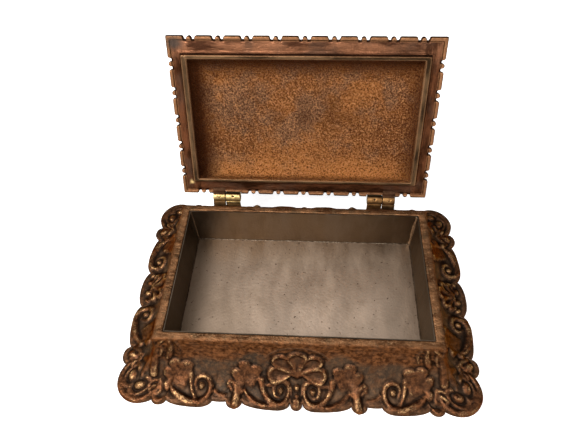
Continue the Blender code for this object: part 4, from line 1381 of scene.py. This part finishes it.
def plain_paint(name, colour, roughness, glow):
    material = bpy.data.materials.new(name)
    material.use_nodes = True
    shader = material.node_tree.nodes["Principled BSDF"]
    shader.inputs["Base Color"].default_value = (*colour, 1)
    shader.inputs["Roughness"].default_value = roughness
    shader.inputs["Emission Color"].default_value = (1, 1, 1, 1)
    shader.inputs["Emission Strength"].default_value = glow
    return material


# Lamps as (name, place in metres, size, watts), and the side that the soft light comes from
LAMPS = (("key", (-0.55, -0.5, 1.15), 0.6, 22), ("fill", (0.8, -0.5, 0.9), 0.5, 4))
SOFT_SIDE = (-0.62, -0.55, 0.56)
FLOOR_SIZE = 8
LENS = 30.35
LENS_SHIFT = (-0.0114, 0.0070)
CAMERA_PLACE = (0.0082, -0.1516, 0.2817)
CAMERA_TURNS = ((4.63, "Z"), (37.62, "X"), (-2.27, "Z"))


def studio():
    """White floor, soft light from one side, and two lamps."""
    bpy.ops.mesh.primitive_plane_add(size=FLOOR_SIZE, location=(0, 0, 0))
    floor = bpy.context.active_object
    floor.name = "studio_floor"
    floor.data.materials.append(plain_paint("studio_white", (0.9, 0.9, 0.9), 0.9, 0.62))
    world = bpy.data.worlds.new("soft_white")
    bpy.context.scene.world = world
    world.use_nodes = True
    tree = world.node_tree
    background = tree.nodes["Background"]
    background.inputs["Color"].default_value = (1, 1, 1, 1)
    coords = tree.nodes.new("ShaderNodeTexCoord")
    facing = tree.nodes.new("ShaderNodeVectorMath")
    facing.operation = "DOT_PRODUCT"
    facing.inputs[1].default_value = Vector(SOFT_SIDE).normalized()
    spread = tree.nodes.new("ShaderNodeMapRange")
    for key, value in (("From Min", -0.7), ("From Max", 0.95), ("To Min", 0.12), ("To Max", 0.9)):
        spread.inputs[key].default_value = value
    tree.links.new(coords.outputs["Generated"], facing.inputs[0])
    tree.links.new(facing.outputs["Value"], spread.inputs["Value"])
    tree.links.new(spread.outputs["Result"], background.inputs["Strength"])
    for name, place, size, power in LAMPS:
        light = bpy.data.lights.new(name, "AREA")
        light.size = size
        light.energy = power
        lamp = bpy.data.objects.new(name, light)
        lamp.location = place
        lamp.rotation_euler = (Vector((0, 0, 0.03)) - Vector(place)).to_track_quat("-Z", "Y").to_euler()
        bpy.context.scene.collection.objects.link(lamp)
    bpy.context.scene.view_settings.view_transform = "Standard"


def camera():
    data = bpy.data.cameras.new("photo_view")
    data.sensor_width = 36
    data.lens = LENS
    data.shift_x, data.shift_y = LENS_SHIFT
    data.clip_start = 0.01
    obj = bpy.data.objects.new("photo_view", data)
    matrix = Matrix.Translation(CAMERA_PLACE)
    for degrees, axis in CAMERA_TURNS:
        matrix = matrix @ Matrix.Rotation(math.radians(degrees), 4, axis)
    obj.matrix_world = matrix
    bpy.context.scene.collection.objects.link(obj)
    bpy.context.scene.camera = obj


camera()
studio()
dress_cad()
build_base()
build_lid()
hinges()
solder()
